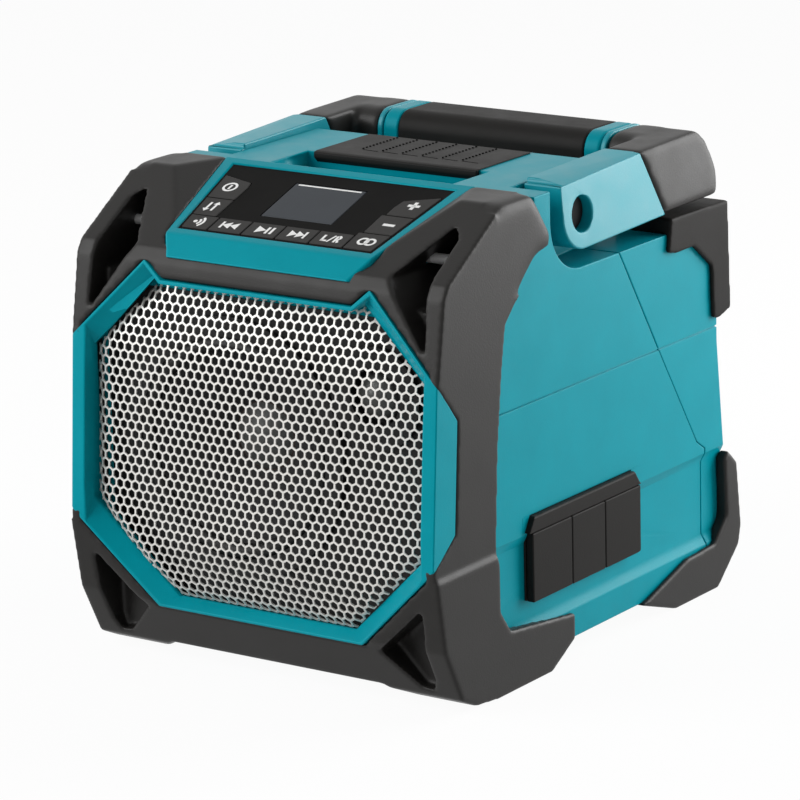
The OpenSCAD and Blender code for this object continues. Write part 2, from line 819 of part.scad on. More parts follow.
// Section of the grip, drawn in by d
module grip_shape(d) {
    r = grip_round;
    centres = [[grip_front + r, grip_low + r], [grip_back - r, grip_low + r],
        [grip_back - 2 * r, grip_top - r], [grip_front + r, grip_top - r]];
    hull() for (c = centres) translate(c) circle(r - d, $fn = 32);
}

// Swinging core with both arms, the bar and the collars beside the roll
module core_solid() {
    both() difference() {
        union() {
            across(arm_in, pad_w) arm_shape();
            across(arm_in + 2, pad_w - bar_inset)
                polygon([[seam_top[0], grip_top - 5], [seam_foot[0] - 3, grip_low + 5],
                    [grip_front + grip_round, grip_low + grip_skin],
                    [grip_front + grip_round, grip_top - grip_skin]]);
            across(roll_x, collar_x) grip_shape(0);
        }
        lean_cut();
    }
    across(bar_inset - pad_w, pad_w - bar_inset) grip_shape(grip_skin);
}

// Everything outside the leaning outer side and the falling top of the right arm
module lean_cut() {
    beyond([pad_w, 0, pivot_z - arm_front], [1, 0, arm_lean]);
    beyond([pad_w - 2, pivot_y, pivot_z + arm_top - 1.5], [0.17, -0.045, 1]);
}

module handle_core() color(teal) seat() difference() {
    core_solid();
    both() {
        across(0, big) translate([pivot_y, pivot_z]) circle(pin_r + fit);
        across(pad_w - screw_seat, big) translate([pivot_y, pivot_z]) circle(screw_head_r + 0.5);
    }
}

module grip_roll() color(charcoal) seat() difference() {
    across(-roll_x, roll_x) grip_shape(0);
    across(-big, big) grip_shape(grip_skin);
}

module grip_corner() {
    difference() {
        intersection() {
            union() {
                across(arm_in, pad_w) corner_shape(seam);
                across(collar_x, arm_in + 1) grip_shape(0);
            }
            linear_extrude(big) round_rect([0, grip_back - 50], [2 * pad_w, 100], grip_corner_r);
        }
        core_solid();
        lean_cut();
    }
}

module grip_corner_right() color(charcoal) seat() grip_corner();
module grip_corner_left() color(charcoal) seat() mirror([1, 0, 0]) grip_corner();

module pivot_screws() color(steel) seat() both() {
    head = pad_w - screw_seat + seam;
    across(deck_x - 6, head) translate([pivot_y, pivot_z]) circle(pin_r);
    across(head, head + screw_head_t) translate([pivot_y, pivot_z]) circle(screw_head_r);
}

// Ports

// Band over the flaps, which also makes its own recess in the upper side panel
module port_band() {
    y = [flap_edges[0] - cover_lip, flap_edges[3] + cover_lip];
    block([low_w, low_w + cover_t], y, [flap_z + seam, flap_z + seam + band_h]);
    block([low_w, low_w + cover_t], [flap_edges[0], flap_edges[3]],
        [step_z - step_h / 2, flap_z + seam]);
}

module port_frame() color(charcoal) seat() difference() {
    union() {
        intersection() {
            port_band();
            block([0, big], [0, big], [flap_z + seam, big]);
        }
        block([low_w, low_w + plate_t], [flap_edges[0], flap_edges[3]], [flap_z - flap_h, flap_z + 1]);
    }
    socket_holes();
}

module flap(i) color(charcoal) seat()
    block([low_w + plate_t + seam, low_w + cover_t], [flap_edges[i] + seam / 2, flap_edges[i + 1] - seam / 2],
        [flap_z - flap_h, flap_z]);

// Block round the data socket from x0 to x1, wider by grow
module usb_block(x0, x1, grow) {
    y = usb_w / 2 + grow;
    z = usb_h / 2 + grow;
    block([x0, x1], [socket_y[0] - y, socket_y[0] + y], [socket_z - z, socket_z + z]);
}

module usb_socket() color(steel) seat() difference() {
    usb_block(port_board_x + board_t, low_w, 0);
    usb_block(low_w - 10, big, -usb_wall);
}

module aux_jack() color(black) seat() difference() {
    across(port_board_x + board_t, low_w) translate([socket_y[1], socket_z]) circle(jack_r);
    across(low_w - 14, big) translate([socket_y[1], socket_z]) circle(jack_bore);
}

module dc_inlet() color(black) seat() {
    difference() {
        across(port_board_x + board_t, low_w) translate([socket_y[2], socket_z]) circle(inlet_r);
        across(low_w - 10, big) translate([socket_y[2], socket_z]) circle(inlet_bore);
    }
    across(low_w - 11, low_w - 1) translate([socket_y[2], socket_z]) circle(1);
}

module port_board() color(board_green) seat()
    block([port_board_x, port_board_x + board_t], [flap_edges[0], flap_edges[3]], [flap_z - flap_h, flap_z]);

// Battery bay and electronics

module battery_bay() color(black) seat() {
    difference() {
        block([-bay_x - bay_wall, bay_x + bay_wall], [inner_back - bay_d - bay_wall, inner_back],
            [bay_z - bay_wall, bay_z + bay_h + bay_wall]);
        block([-bay_x, bay_x], [inner_back - bay_d, big], [bay_z, bay_z + bay_h]);
    }
    for (x = [-38, 38], y = [inner_back - 70, inner_back - 12])
        translate([x, y, bay_z + bay_h]) cylinder(r = 3, h = main_z - bay_z - bay_h);
}

module battery_terminals() color(steel) seat() {
    y0 = inner_back - bay_d;
    block([-22, 22], [y0, y0 + 6], [bay_z + bay_h - 30, bay_z + bay_h - 14]);
    for (x = [-15 : 10 : 15])
        block([x - 0.5, x + 0.5], [y0 + 5, y0 + 18], [bay_z + bay_h - 26, bay_z + bay_h - 18]);
}

module main_board() color(board_green) seat()
    block([-50, 50], [inner_back - 76, inner_back - 6], [main_z, main_z + board_t]);

module heat_sink() color(steel) seat() {
    z0 = main_z + board_t;
    y = [inner_back - 66, inner_back - 26];
    block([-20, 20], y, [z0, z0 + 3]);
    for (x = [-19 : 5.4 : 19]) block([x, x + 1.4], y, [z0 + 2, z0 + 16]);
}

module battery_door() color(teal) seat() difference() {
    union() {
        block([-door_x, door_x], [door_face + seam, door_face + seam + door_t], [door_z[0] + 3, door_z[1]]);
        across(-knuckle_x, knuckle_x) {
            translate(hinge_at) circle(knuckle_r);
            polygon([[door_face + 1, door_z[0] + 4], [hinge_at[0] - knuckle_r, hinge_at[1]],
                [hinge_at[0] + 1, hinge_at[1] + knuckle_r - 0.2], [door_face + door_t, door_z[0] + 8]]);
        }
    }
    across(-big, big) translate(hinge_at) circle(hinge_r + fit);
    block([-12, 12], [door_face + door_t - 1.5, big], [door_z[1] - 10, door_z[1] - 4]);
}

module door_pin() color(steel) seat()
    across(-knuckle_x - lug_w - seam, knuckle_x + lug_w + seam) translate(hinge_at) circle(hinge_r);

front_shell();
rear_shell();
front_bumper();
rear_bumper_top_right();
rear_bumper_top_left();
rear_bumper_low_right();
rear_bumper_low_left();
strap_posts();
bezel();
grille();
baffle();
woofer_frame();
woofer_magnet();
woofer_cone();
woofer_surround();
woofer_spider();
voice_coil();
dust_cap();
tweeter_frame();
tweeter_dome();
control_panel();
key_mask();
lcd_window();
lcd_module();
control_board();
key("power");  // key_power
key("tone");  // key_tone
key("pair");  // key_pair
key("back");  // key_back
key("play");  // key_play
key("next");  // key_next
key("side");  // key_side
key("link");  // key_link
key("minus");  // key_minus
key("plus");  // key_plus
top_mat();
handle_core();
grip_roll();
grip_corner_right();
grip_corner_left();
pivot_screws();
port_frame();
flap(0);  // flap_usb
flap(1);  // flap_aux
flap(2);  // flap_dc
usb_socket();
aux_jack();
dc_inlet();
port_board();
battery_bay();
battery_terminals();
main_board();
heat_sink();
battery_door();
door_pin();
case_screws();
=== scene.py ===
"""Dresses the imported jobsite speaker: rounded mouldings, a perforated grille, key marks and a studio."""

import json
import logging
import math
from dataclasses import dataclass, replace
from enum import Enum
from functools import cache

import bmesh
import bpy
from mathutils import Matrix, Vector
from mathutils.bvhtree import BVHTree


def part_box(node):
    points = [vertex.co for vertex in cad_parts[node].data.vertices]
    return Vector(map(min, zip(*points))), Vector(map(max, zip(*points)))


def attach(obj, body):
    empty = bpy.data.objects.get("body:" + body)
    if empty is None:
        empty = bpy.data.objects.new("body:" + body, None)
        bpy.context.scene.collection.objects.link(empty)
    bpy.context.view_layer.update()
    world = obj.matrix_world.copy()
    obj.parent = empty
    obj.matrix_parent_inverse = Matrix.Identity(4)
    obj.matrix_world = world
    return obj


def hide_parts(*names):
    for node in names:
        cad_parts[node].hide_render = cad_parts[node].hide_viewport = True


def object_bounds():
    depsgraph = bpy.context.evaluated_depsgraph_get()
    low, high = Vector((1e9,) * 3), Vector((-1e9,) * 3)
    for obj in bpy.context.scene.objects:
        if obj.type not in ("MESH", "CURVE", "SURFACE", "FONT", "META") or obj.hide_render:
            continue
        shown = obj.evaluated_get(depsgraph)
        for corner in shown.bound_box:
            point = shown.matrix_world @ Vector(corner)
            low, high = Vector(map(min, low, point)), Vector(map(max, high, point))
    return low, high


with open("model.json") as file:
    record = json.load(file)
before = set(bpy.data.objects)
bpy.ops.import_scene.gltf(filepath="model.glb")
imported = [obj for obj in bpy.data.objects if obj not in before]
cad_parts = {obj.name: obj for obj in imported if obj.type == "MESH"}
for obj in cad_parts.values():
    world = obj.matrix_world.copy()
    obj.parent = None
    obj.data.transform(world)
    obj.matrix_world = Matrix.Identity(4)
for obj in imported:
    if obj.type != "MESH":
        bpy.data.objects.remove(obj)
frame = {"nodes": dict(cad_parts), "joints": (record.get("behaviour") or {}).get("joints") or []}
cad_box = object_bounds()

MM = 0.001
MERGE = 0.02 * MM
FINE_MERGE = 0.01 * MM
SLIVER = 0.01 * MM
FINE_SLIVER = 0.005 * MM
TRIANGLE_LONG = 1.5
TRIANGLE_BASE = math.sqrt(3)
CABINET = "cabinet"
HANDLE = "handle"
log = logging.getLogger("speaker")

Span = tuple[float, float]
Triple = tuple[float, float, float]
Mesh = bmesh.types.BMesh
Vert = bmesh.types.BMVert
Edge = bmesh.types.BMEdge
Part = Vert | Edge | bmesh.types.BMFace
Piece = bpy.types.Object
Tree = bpy.types.NodeTree
Node = bpy.types.Node


class Axis(Enum):
    """The frame's own directions."""

    RIGHT = Vector((1, 0, 0))
    BACK = Vector((0, 1, 0))
    UP = Vector((0, 0, 1))


class SocketKind(Enum):
    """What a socket of a node group carries."""

    NUMBER = "NodeSocketFloat"
    PLACE = "NodeSocketVector"
    COLOUR = "NodeSocketColor"


class MarkKind(Enum):
    """What is printed on a key."""

    POWER = "power"
    TONE = "tone"
    PAIR = "pair"
    BACK = "back"
    PLAY = "play"
    NEXT = "next"
    SIDE = "side"
    LINK = "link"
    MINUS = "minus"
    PLUS = "plus"


def all_of(bm: Mesh) -> list[Part]:
    """Lists a mesh's points, edges and faces."""
    return [*bm.verts, *bm.edges, *bm.faces]


def verts_of(parts: list[Part]) -> list[Vert]:
    """Picks the points from a list of parts of a mesh."""
    return [part for part in parts if isinstance(part, Vert)]


def ring(items: list) -> list[tuple]:
    """Pairs each item of a closed loop with the next one."""
    return list(zip(items, items[1:] + items[:1]))


def smooth(bm: Mesh) -> None:
    """Shades all faces smooth."""
    for face in bm.faces:
        face.smooth = True


def cut(bm: Mesh, place: Vector, way: Vector) -> None:
    """Cuts off what lies beyond a plane and closes the cut."""
    bmesh.ops.bisect_plane(bm, geom=all_of(bm), plane_co=place, plane_no=way, clear_outer=True)
    bmesh.ops.holes_fill(bm, edges=[edge for edge in bm.edges if edge.is_boundary], sides=0)


def put(bm: Mesh, piece: Piece) -> None:
    """Writes a mesh to a piece and frees it."""
    bm.to_mesh(piece.data)
    bm.free()


def shown(piece: Piece) -> Mesh:
    """Takes a piece's mesh as its modifiers leave it, and clears them.

    Args:
        piece: the object.

    Returns:
        The mesh.
    """
    bm = bmesh.new()
    bm.from_mesh(piece.evaluated_get(bpy.context.evaluated_depsgraph_get()).data)
    piece.modifiers.clear()
    return bm


def add_object(name: str, bm: Mesh) -> Piece:
    """Turns a bmesh into a linked object at the origin.

    Args:
        name: the piece's name.
        bm: its mesh, which is freed.

    Returns:
        The new object.
    """
    piece = bpy.data.objects.new(name, bpy.data.meshes.new(name))
    put(bm, piece)
    bpy.context.scene.collection.objects.link(piece)
    return piece


def settle(piece: Piece, body: str, finish: "Finish", *nodes: str) -> Piece:
    """Gives a piece its finish, its body and the solids that it stands for.

    Args:
        piece: the object.
        body: the body that it rides on.
        finish: its surface.
        nodes: the solids that it replaces.

    Returns:
        The same object.
    """
    piece.data.materials.append(finish.material())
    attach(piece, body)
    if nodes:
        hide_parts(*nodes)
    log.info("%s: %d faces, on %s", piece.name, len(piece.data.polygons), body)
    return piece


def dress(finish: "Finish", *nodes: str) -> None:
    """Gives solids that stay as they are a finish.

    Args:
        finish: their surface.
        nodes: their names.
    """
    for node in nodes:
        solid = frame["nodes"][node]
        solid.data.materials.clear()
        solid.data.materials.append(finish.material())
        log.info("%s keeps its solid, in %s", node, finish.name)


def set_inputs(node: Node, values: dict[str | int, object]) -> None:
    """Sets a node's sockets, by name or number."""
    for socket, value in values.items():
        node.inputs[socket].default_value = value


def add_node(tree: Tree, kind: str, values: dict[str | int, object] | None = None, **options: object) -> Node:
    """Adds a shader node.

    Args:
        tree: the tree that it goes into.
        kind: its type, without the prefix that all of them have.
        values: what its sockets hold.
        options: its other settings.

    Returns:
        The node.
    """
    node = tree.nodes.new("ShaderNode" + kind)
    for option, value in options.items():
        setattr(node, option, value)
    set_inputs(node, values or {})
    return node


def wire(tree: Tree, *wires: tuple[Node, str, Node, str | int]) -> None:
    """Links sockets, each wire from an output of one node to an input of another."""
    for start, output, end, socket in wires:
        tree.links.new(start.outputs[output], end.inputs[socket])


class Effects:
    """Shader node groups that the finishes share, each made once."""

    PEBBLE_SHARE = 0.6

    @staticmethod
    def begin(name: str, ins: dict[str, SocketKind], outs: dict[str, SocketKind]) -> tuple[Tree, Node, Node]:
        """Starts a node group.

        Args:
            name: the group's name.
            ins: its inputs' kinds.
            outs: its outputs' kinds.

        Returns:
            The group, its input node and its output node.
        """
        tree = bpy.data.node_groups.new(name, "ShaderNodeTree")
        for way, sockets in (("INPUT", ins), ("OUTPUT", outs)):
            for socket, kind in sockets.items():
                tree.interface.new_socket(socket, in_out=way, socket_type=kind.value)
        return tree, tree.nodes.new("NodeGroupInput"), tree.nodes.new("NodeGroupOutput")

    @staticmethod
    @cache
    def grain() -> Tree:
        """Makes the height of a moulded grain: fine pebbles over a finer noise.

        Returns:
            The group.
        """
        ins = {"Place": SocketKind.PLACE, "Scale": SocketKind.NUMBER}
        tree, start, end = Effects.begin("moulded_grain", ins, {"Height": SocketKind.NUMBER})
        pebbles = add_node(tree, "TexVoronoi", {"Smoothness": 0.6}, feature="SMOOTH_F1")
        specks = add_node(tree, "TexNoise", {"Detail": 3.0})
        both = add_node(tree, "Math", {1: Effects.PEBBLE_SHARE}, operation="MULTIPLY_ADD")
        for texture in (pebbles, specks):
            wire(tree, (start, "Place", texture, "Vector"), (start, "Scale", texture, "Scale"))
        wire(tree, (pebbles, "Distance", both, 0), (specks, "Fac", both, 2), (both, "Value", end, "Height"))
        return tree

    @staticmethod
    @cache
    def drift() -> Tree:
        """Makes the slow change of a colour over the surface, and of its polish.

        Returns:
            The group.
        """
        ins = {"Place": SocketKind.PLACE, "Scale": SocketKind.NUMBER, "Dark": SocketKind.COLOUR,
               "Light": SocketKind.COLOUR, "Smooth": SocketKind.NUMBER, "Rough": SocketKind.NUMBER}
        outs = {"Colour": SocketKind.COLOUR, "Polish": SocketKind.NUMBER}
        tree, start, end = Effects.begin("surface_drift", ins, outs)
        cloud = add_node(tree, "TexNoise", {"Detail": 4.0, "Roughness": 0.62})
        shade = add_node(tree, "MapRange", {"From Min": 0.25, "From Max": 0.75})
        polish = add_node(tree, "MapRange", {"From Min": 0.3, "From Max": 0.7})
        mix = add_node(tree, "Mix", data_type="RGBA")
        wire(tree, (start, "Place", cloud, "Vector"), (start, "Scale", cloud, "Scale"),
             (cloud, "Fac", shade, "Value"), (shade, "Result", mix, "Factor"),
             (start, "Dark", mix, "A"), (start, "Light", mix, "B"), (mix, "Result", end, "Colour"),
             (cloud, "Fac", polish, "Value"), (start, "Smooth", polish, "To Min"),
             (start, "Rough", polish, "To Max"), (polish, "Result", end, "Polish"))
        return tree


@dataclass(frozen=True)
class Finish:
    """A surface with a drifting colour, a drifting polish and a moulded grain.

    Its name differs from every slot's, because the frame's own materials have the slots' names.
    """

    name: str
    slot: str
    colour: Triple
    spread: float = 0.06
    rough: float = 0.5
    rough_spread: float = 0.05
    specular: float = 0.3
    metallic: float = 0.0
    drift_scale: float = 60.0
    grain_scale: float = 1500.0
    grain_depth: float = 0.02 * MM
    tint: Triple = (1.0, 1.0, 1.0)

    def shade(self, level: float) -> tuple[float, ...]:
        """Gives the colour at a level of brightness, with full cover."""
        return (*(part * level for part in self.colour), 1.0)

    @cache
    def material(self) -> bpy.types.Material:
        """Makes the material once.

        Returns:
            The material.
        """
        material = bpy.data.materials.new(self.name)
        material.use_nodes = True
        tree = material.node_tree
        surface = tree.nodes["Principled BSDF"]
        set_inputs(surface, {"Metallic": self.metallic, "Specular IOR Level": self.specular,
                             "Specular Tint": (*self.tint, 1.0)})
        place = add_node(tree, "TexCoord")
        drift = add_node(tree, "Group", {
            "Scale": self.drift_scale,
            "Dark": self.shade(1 - self.spread),
            "Light": self.shade(1 + self.spread),
            "Smooth": self.rough - self.rough_spread,
            "Rough": self.rough + self.rough_spread,
        }, node_tree=Effects.drift())
        grain = add_node(tree, "Group", {"Scale": self.grain_scale}, node_tree=Effects.grain())
        bump = add_node(tree, "Bump", {"Distance": self.grain_depth})
        wire(tree, (place, "Object", drift, "Place"), (place, "Object", grain, "Place"),
             (drift, "Colour", surface, "Base Color"), (drift, "Polish", surface, "Roughness"),
             (grain, "Height", bump, "Height"), (bump, "Normal", surface, "Normal"))
        return material


TEAL = Finish("teal_moulding", "teal_shell", (0.0, 0.255, 0.315), spread=0.05, rough=0.36, specular=0.12,
              tint=(0.3, 0.9, 1.0))
HANDLE_TEAL = replace(TEAL, name="satin_handle", rough=0.38, specular=0.38, tint=(0.8, 0.98, 1.0))
RUBBER = Finish("charcoal_moulding", "charcoal_rubber", (0.014, 0.0132, 0.0124), rough=0.42, specular=0.2,
                spread=0.12, grain_depth=0.03 * MM)
MATT_RUBBER = replace(RUBBER, name="matt_moulding", rough=0.5, specular=0.07)
# Near-black finish for the mat's studs and groove strips: painted shade of the mat's pits and grooves.
PAINTED_PIT_SHADE = Finish("painted_pit_shade", "charcoal_rubber", (0.004, 0.004, 0.004), rough=0.8, specular=0.0, spread=0.2)
GRILLE_PAINT = Finish("sheet_paint", "grille_paint", (0.6, 0.5882, 0.5608), metallic=0.3, rough=0.45,
                      specular=0.5, spread=0.04, grain_scale=2600.0, grain_depth=0.01 * MM)
STEEL = Finish("plain_steel", "bright_steel", (0.66, 0.67, 0.68), metallic=1.0, rough=0.26, spread=0.08)
# Zinc plate on the strap posts, its colour raised near white as a painted highlight, so that the posts show
# bright in their dark pockets.
GLINT_ZINC = Finish("zinc_plate_painted_glint", "bright_steel", (0.92, 0.92, 0.92), metallic=0.4, rough=0.28, spread=0.04,
              grain_depth=0.004 * MM)
DOME = Finish("dome_metal", "bright_steel", (0.08, 0.083, 0.08), metallic=0.4, rough=0.4, spread=0.12)
DARK_STEEL = Finish("dull_steel", "dark_steel", (0.1216, 0.1216, 0.1294), metallic=0.9, rough=0.4,
                    specular=0.5, spread=0.05, grain_depth=0.004 * MM)
# Near-black pivot screws: painted shade of the deep bores that they sit in.
BORE_SHADE_SCREW = Finish("screw_in_bore_shade", "dark_steel", (0.006, 0.006, 0.0065), rough=0.6, specular=0.1, spread=0.15)
BLACK_STEEL = Finish("black_basket", "black_steel", (0.01, 0.01, 0.01), rough=0.5, spread=0.2)
BLACK = Finish("black_moulding", "black_plastic", (0.008, 0.008, 0.008), rough=0.55, spread=0.15)
PAPER = Finish("pressed_paper", "cone_paper", (0.02, 0.02, 0.021), rough=0.7, spread=0.2, grain_scale=900.0,
               grain_depth=0.06 * MM)
CAP = Finish("cap_lacquer", "cone_paper", (0.08, 0.083, 0.08), rough=0.45, specular=0.3, spread=0.1)
ROLL_RUBBER = Finish("surround_rubber", "soft_rubber", (0.012, 0.012, 0.012), rough=0.45, spread=0.1)
CLOTH = Finish("treated_cloth", "spider_cloth", (0.5, 0.33, 0.06), rough=0.85, spread=0.18,
               grain_scale=1200.0, grain_depth=0.1 * MM)
COPPER = Finish("copper_winding", "copper_wire", (0.03, 0.014, 0.008), metallic=0.3, rough=0.5, spread=0.15)
MASK = Finish("mask_film", "mask_black", (0.006, 0.0058, 0.0055), rough=0.45, specular=0.02, spread=0.1,
              grain_scale=3000.0, grain_depth=0.008 * MM)
KEY = Finish("key_rubber", "key_grey", (0.022, 0.021, 0.02), rough=0.5, specular=0.15, spread=0.1,
             grain_scale=2600.0, grain_depth=0.012 * MM)
# White of the keys' printed marks, also used for the painted highlight along the display window's edge.
PRINT_AND_GLINT = Finish("white_print_and_glint", "key_grey", (0.86, 0.86, 0.85), rough=0.5, specular=0.2, spread=0.03)
WINDOW = Finish("display_window", "window_clear", (0.028, 0.034, 0.042), rough=0.18, rough_spread=0.03,
                specular=0.12, spread=0.06, grain_depth=0.002 * MM)
DISPLAY = Finish("display_panel", "lcd_glass", (0.05, 0.06, 0.075), rough=0.25, spread=0.1)
BOARD = Finish("board_lacquer", "board_green", (0.015, 0.11, 0.045), rough=0.35, spread=0.2,
               drift_scale=240.0)
BRASS = Finish("contact_brass", "brass_contact", (0.75, 0.55, 0.22), metallic=1.0, rough=0.28, spread=0.12)
ALUMINIUM = Finish("drawn_aluminium", "sink_aluminium", (0.749, 0.749, 0.7608), metallic=0.9, rough=0.35,
                   specular=0.5, spread=0.05)


@dataclass(frozen=True)
class EdgeRule:
    """A rounding for edges whose middles lie in a box or in its mirror image, in millimetres."""

    x: Span
    y: Span
    z: Span
    width: float

    def holds(self, middle: Vector) -> bool:
        """Tells whether the rule takes in an edge with this middle."""
        places = zip((abs(middle.x), middle.y, middle.z), (self.x, self.y, self.z))
        return all(low * MM <= value <= high * MM for value, (low, high) in places)


@dataclass(frozen=True)
class Moulding:
    """A copy of a solid with its loose triangles merged and its edges rounded.

    Lengths are in millimetres and angles in degrees.
    """

    node: str
    body: str
    finish: Finish
    width: float = 0.8
    rules: tuple[EdgeRule, ...] = ()
    joined: bool = True
    flat: float = 0.4
    segments: int = 3
    crease: float = 30.0
    slight_crease: float = 5.0
    slight_room: float = 3.0
    share: float = 0.42
    least_across: float = 0.4
    stray: float = 0.36
    proud: float = 0.01
    face_weight: int = 80

    def build(self) -> Piece:
        """Makes the rounded piece, which stands for its solid."""
        return settle(self.rounded("dressed_" + self.node), self.body, self.finish, self.node)

    def merged(self) -> Mesh:
        """Copies the solid's mesh and joins what is flat.

        Returns:
            The merged mesh.
        """
        bm = bmesh.new()
        bm.from_mesh(frame["nodes"][self.node].data)
        bmesh.ops.remove_doubles(bm, verts=bm.verts, dist=MERGE)
        bmesh.ops.dissolve_degenerate(bm, dist=SLIVER, edges=bm.edges)
        if self.joined:
            bmesh.ops.dissolve_limit(bm, angle_limit=math.radians(self.flat), verts=bm.verts, edges=bm.edges)
            bmesh.ops.connect_verts_concave(bm, faces=bm.faces)
        return bm

    def room(self, edge: Edge) -> float:
        """Finds how wide a rounding the faces beside an edge allow.

        Args:
            edge: the edge.

        Returns:
            The widest rounding, in metres.
        """
        line = (edge.verts[1].co - edge.verts[0].co).normalized()
        widest = 1.0
        for vert in edge.verts:
            for other in vert.link_edges:
                beside = other is not edge and set(other.link_faces) & set(edge.link_faces)
                if not beside:
                    continue
                turn = (other.verts[1].co - other.verts[0].co).normalized()
                across = math.sqrt(max(0.0, 1 - line.dot(turn) ** 2))
                if across > self.least_across:
                    widest = min(widest, other.calc_length() * across * self.share)
        return widest

    def wanted(self, edge: Edge) -> float:
        """Finds the rounding that the rules give to an edge, in metres."""
        middle = (edge.verts[0].co + edge.verts[1].co) / 2
        return next((rule.width for rule in self.rules if rule.holds(middle)), self.width) * MM

    def weigh(self, bm: Mesh) -> float:
        """Writes each edge's rounding as a bevel weight, and marks inner corners sharp.

        Args:
            bm: the merged mesh.

        Returns:
            The widest rounding, which has a weight of 1.
        """
        layer = bm.edges.layers.float.new("bevel_weight_edge")
        widths: dict[Edge, float] = {}
        for edge in bm.edges:
            if len(edge.link_faces) != 2:
                continue
            angle = edge.calc_face_angle_signed(0.0)
            turn = math.degrees(abs(angle))
            room = self.room(edge)
            bent = turn > self.crease or (turn > self.slight_crease and room > self.slight_room * MM)
            if bent and angle > 0:
                widths[edge] = min(self.wanted(edge), room)
            elif bent:
                edge.smooth = False
        widest = max(widths.values(), default=0.0)
        for edge, width in widths.items():
            edge[layer] = width / widest
        smooth(bm)
        return widest

    def rounded(self, name: str) -> Piece:
        """Makes a piece whose weighted edges are bevelled and whose normals are evened.

        Args:
            name: the piece's name.

        Returns:
            The piece.
        """
        bm = self.merged()
        skin = BVHTree.FromBMesh(bm)
        widest = self.weigh(bm)
        piece = add_object(name, bm)
        bevel = piece.modifiers.new("rounding", "BEVEL")
        bevel.limit_method = "WEIGHT"
        bevel.width = widest
        bevel.segments = self.segments
        bevel.profile = 0.5
        bevel.use_clamp_overlap = False
        bm = shown(piece)
        self.hold(bm, widest, skin)
        put(bm, piece)
        normals = piece.modifiers.new("flat_faces", "WEIGHTED_NORMAL")
        normals.keep_sharp = True
        normals.weight = self.face_weight
        return piece

    def hold(self, bm: Mesh, widest: float, skin: BVHTree) -> None:
        """Brings points that left the solid, or sank far into it, back to its skin.

        Args:
            bm: the rounded mesh.
            widest: the widest rounding on it.
            skin: the surface before it is rounded.
        """
        for vert in bm.verts:
            place, normal, _, gap = skin.find_nearest(vert.co)
            if (vert.co - place).dot(normal) > self.proud * MM or gap > self.stray * widest:
                vert.co = place
        bmesh.ops.remove_doubles(bm, verts=bm.verts, dist=FINE_MERGE)
        bmesh.ops.dissolve_degenerate(bm, dist=FINE_SLIVER, edges=bm.edges)


@dataclass(frozen=True)
class SoftMoulding(Moulding):
    """A rubber moulding, remeshed evenly and smoothed until its edges are as soft as they should be."""

    cell: float = 0.7
    most: int = 170000

    def rounded(self, name: str) -> Piece:
        """Makes a piece that is remeshed and smoothed, more where a rule asks for it.

        Args:
            name: the piece's name.

        Returns:
            The piece.
        """
        piece = add_object(name, self.merged())
        remesh = piece.modifiers.new("even_skin", "REMESH")
        remesh.mode = "VOXEL"
        remesh.voxel_size = self.cell * MM
        bm = shown(piece)
        self.soften(bm, list(bm.verts), self.width)
        for rule in self.rules:
            self.soften(bm, [vert for vert in bm.verts if rule.holds(vert.co)], rule.width)
        low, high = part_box(self.node)
        for vert in bm.verts:
            vert.co = [min(max(value, least), most) for value, least, most in zip(vert.co, low, high)]
        put(bm, piece)
        thin = piece.modifiers.new("fewer_faces", "DECIMATE")
        thin.ratio = min(1.0, self.most / (2 * len(piece.data.polygons)))
        bm = shown(piece)
        smooth(bm)
        put(bm, piece)
        return piece

    def soften(self, bm: Mesh, verts: list[Vert], width: float) -> None:
        """Smooths some points until edges there are about as round as a width.

        Args:
            bm: the mesh.
            verts: the points.
            width: the rounding in millimetres.
        """
        passes = round(2 * (width / self.cell) ** 2)
        for _ in range(passes):
            bmesh.ops.smooth_vert(bm, verts=verts, factor=0.5, use_axis_x=True, use_axis_y=True,
                                  use_axis_z=True)


@dataclass(frozen=True)
class Shell(Moulding):
    """A half shell, which keeps its triangles so that the faces round its openings stay true."""

    joined: bool = False
    crease: float = 20.0
    slight_crease: float = 20.0


@dataclass
class Cabinet:
    """The two teal half shells, their screws, the strap posts and the plates beside slanted rubber ends.

    Edges at the sockets' openings and on the back stay sharp. A plate's corners are places along and above.
    """

    shell_round: float = 0.6
    ports: EdgeRule = EdgeRule((60.0, 86.0), (-48.0, 38.0), (24.0, 57.0), 0.0)
    back: EdgeRule = EdgeRule((0.0, 70.0), (90.0, 110.0), (0.0, 146.0), 0.0)
    screw_round: float = 0.35
    plate_x: Span = (79.0, 82.03)
    gusset: tuple[Span, ...] = ((-51.0, 148.6), (-35.2, 148.6), (-35.2, 164.4))
    fore_end: tuple[Span, ...] = ((-47.2, 57.2), (-46.3, 57.2), (-42.4, 64.0), (-47.2, 64.0))
    rear_end: tuple[Span, ...] = ((33.7, 57.2), (36.2, 57.2), (36.2, 64.0), (29.2, 64.0))

    def build(self) -> None:
        """Makes the shells and what is fixed to them."""
        for node, rule in (("front_shell", self.ports), ("rear_shell", self.back)):
            Shell(node, CABINET, TEAL, self.shell_round, (rule,)).build()
        for node, finish in (("case_screws", DARK_STEEL), ("strap_posts", GLINT_ZINC)):
            Moulding(node, CABINET, finish, self.screw_round).build()
        self.fill("shell_gusset_right", self.gusset, 1)
        self.fill("shell_gusset_left", self.gusset, -1)
        self.fill("shell_port_fore", self.fore_end, 1)
        self.fill("shell_port_rear", self.rear_end, 1)

    def fill(self, name: str, outline: tuple[Span, ...], side: int) -> None:
        """Closes the shell's side beside the slanted end of a rubber piece.

        Args:
            name: the piece's name.
            outline: its corners.
            side: 1 for the right side and -1 for the left.
        """
        inner, outer = self.plate_x
        bm = bmesh.new()
        corners = [bm.verts.new(Vector((side * outer, y, z)) * MM) for y, z in outline]
        wall = bmesh.ops.extrude_face_region(bm, geom=[bm.faces.new(corners)])["geom"]
        bmesh.ops.translate(bm, vec=(side * (inner - outer) * MM, 0, 0), verts=verts_of(wall))
        bmesh.ops.recalc_face_normals(bm, faces=bm.faces)
        settle(add_object(name, bm), CABINET, TEAL)


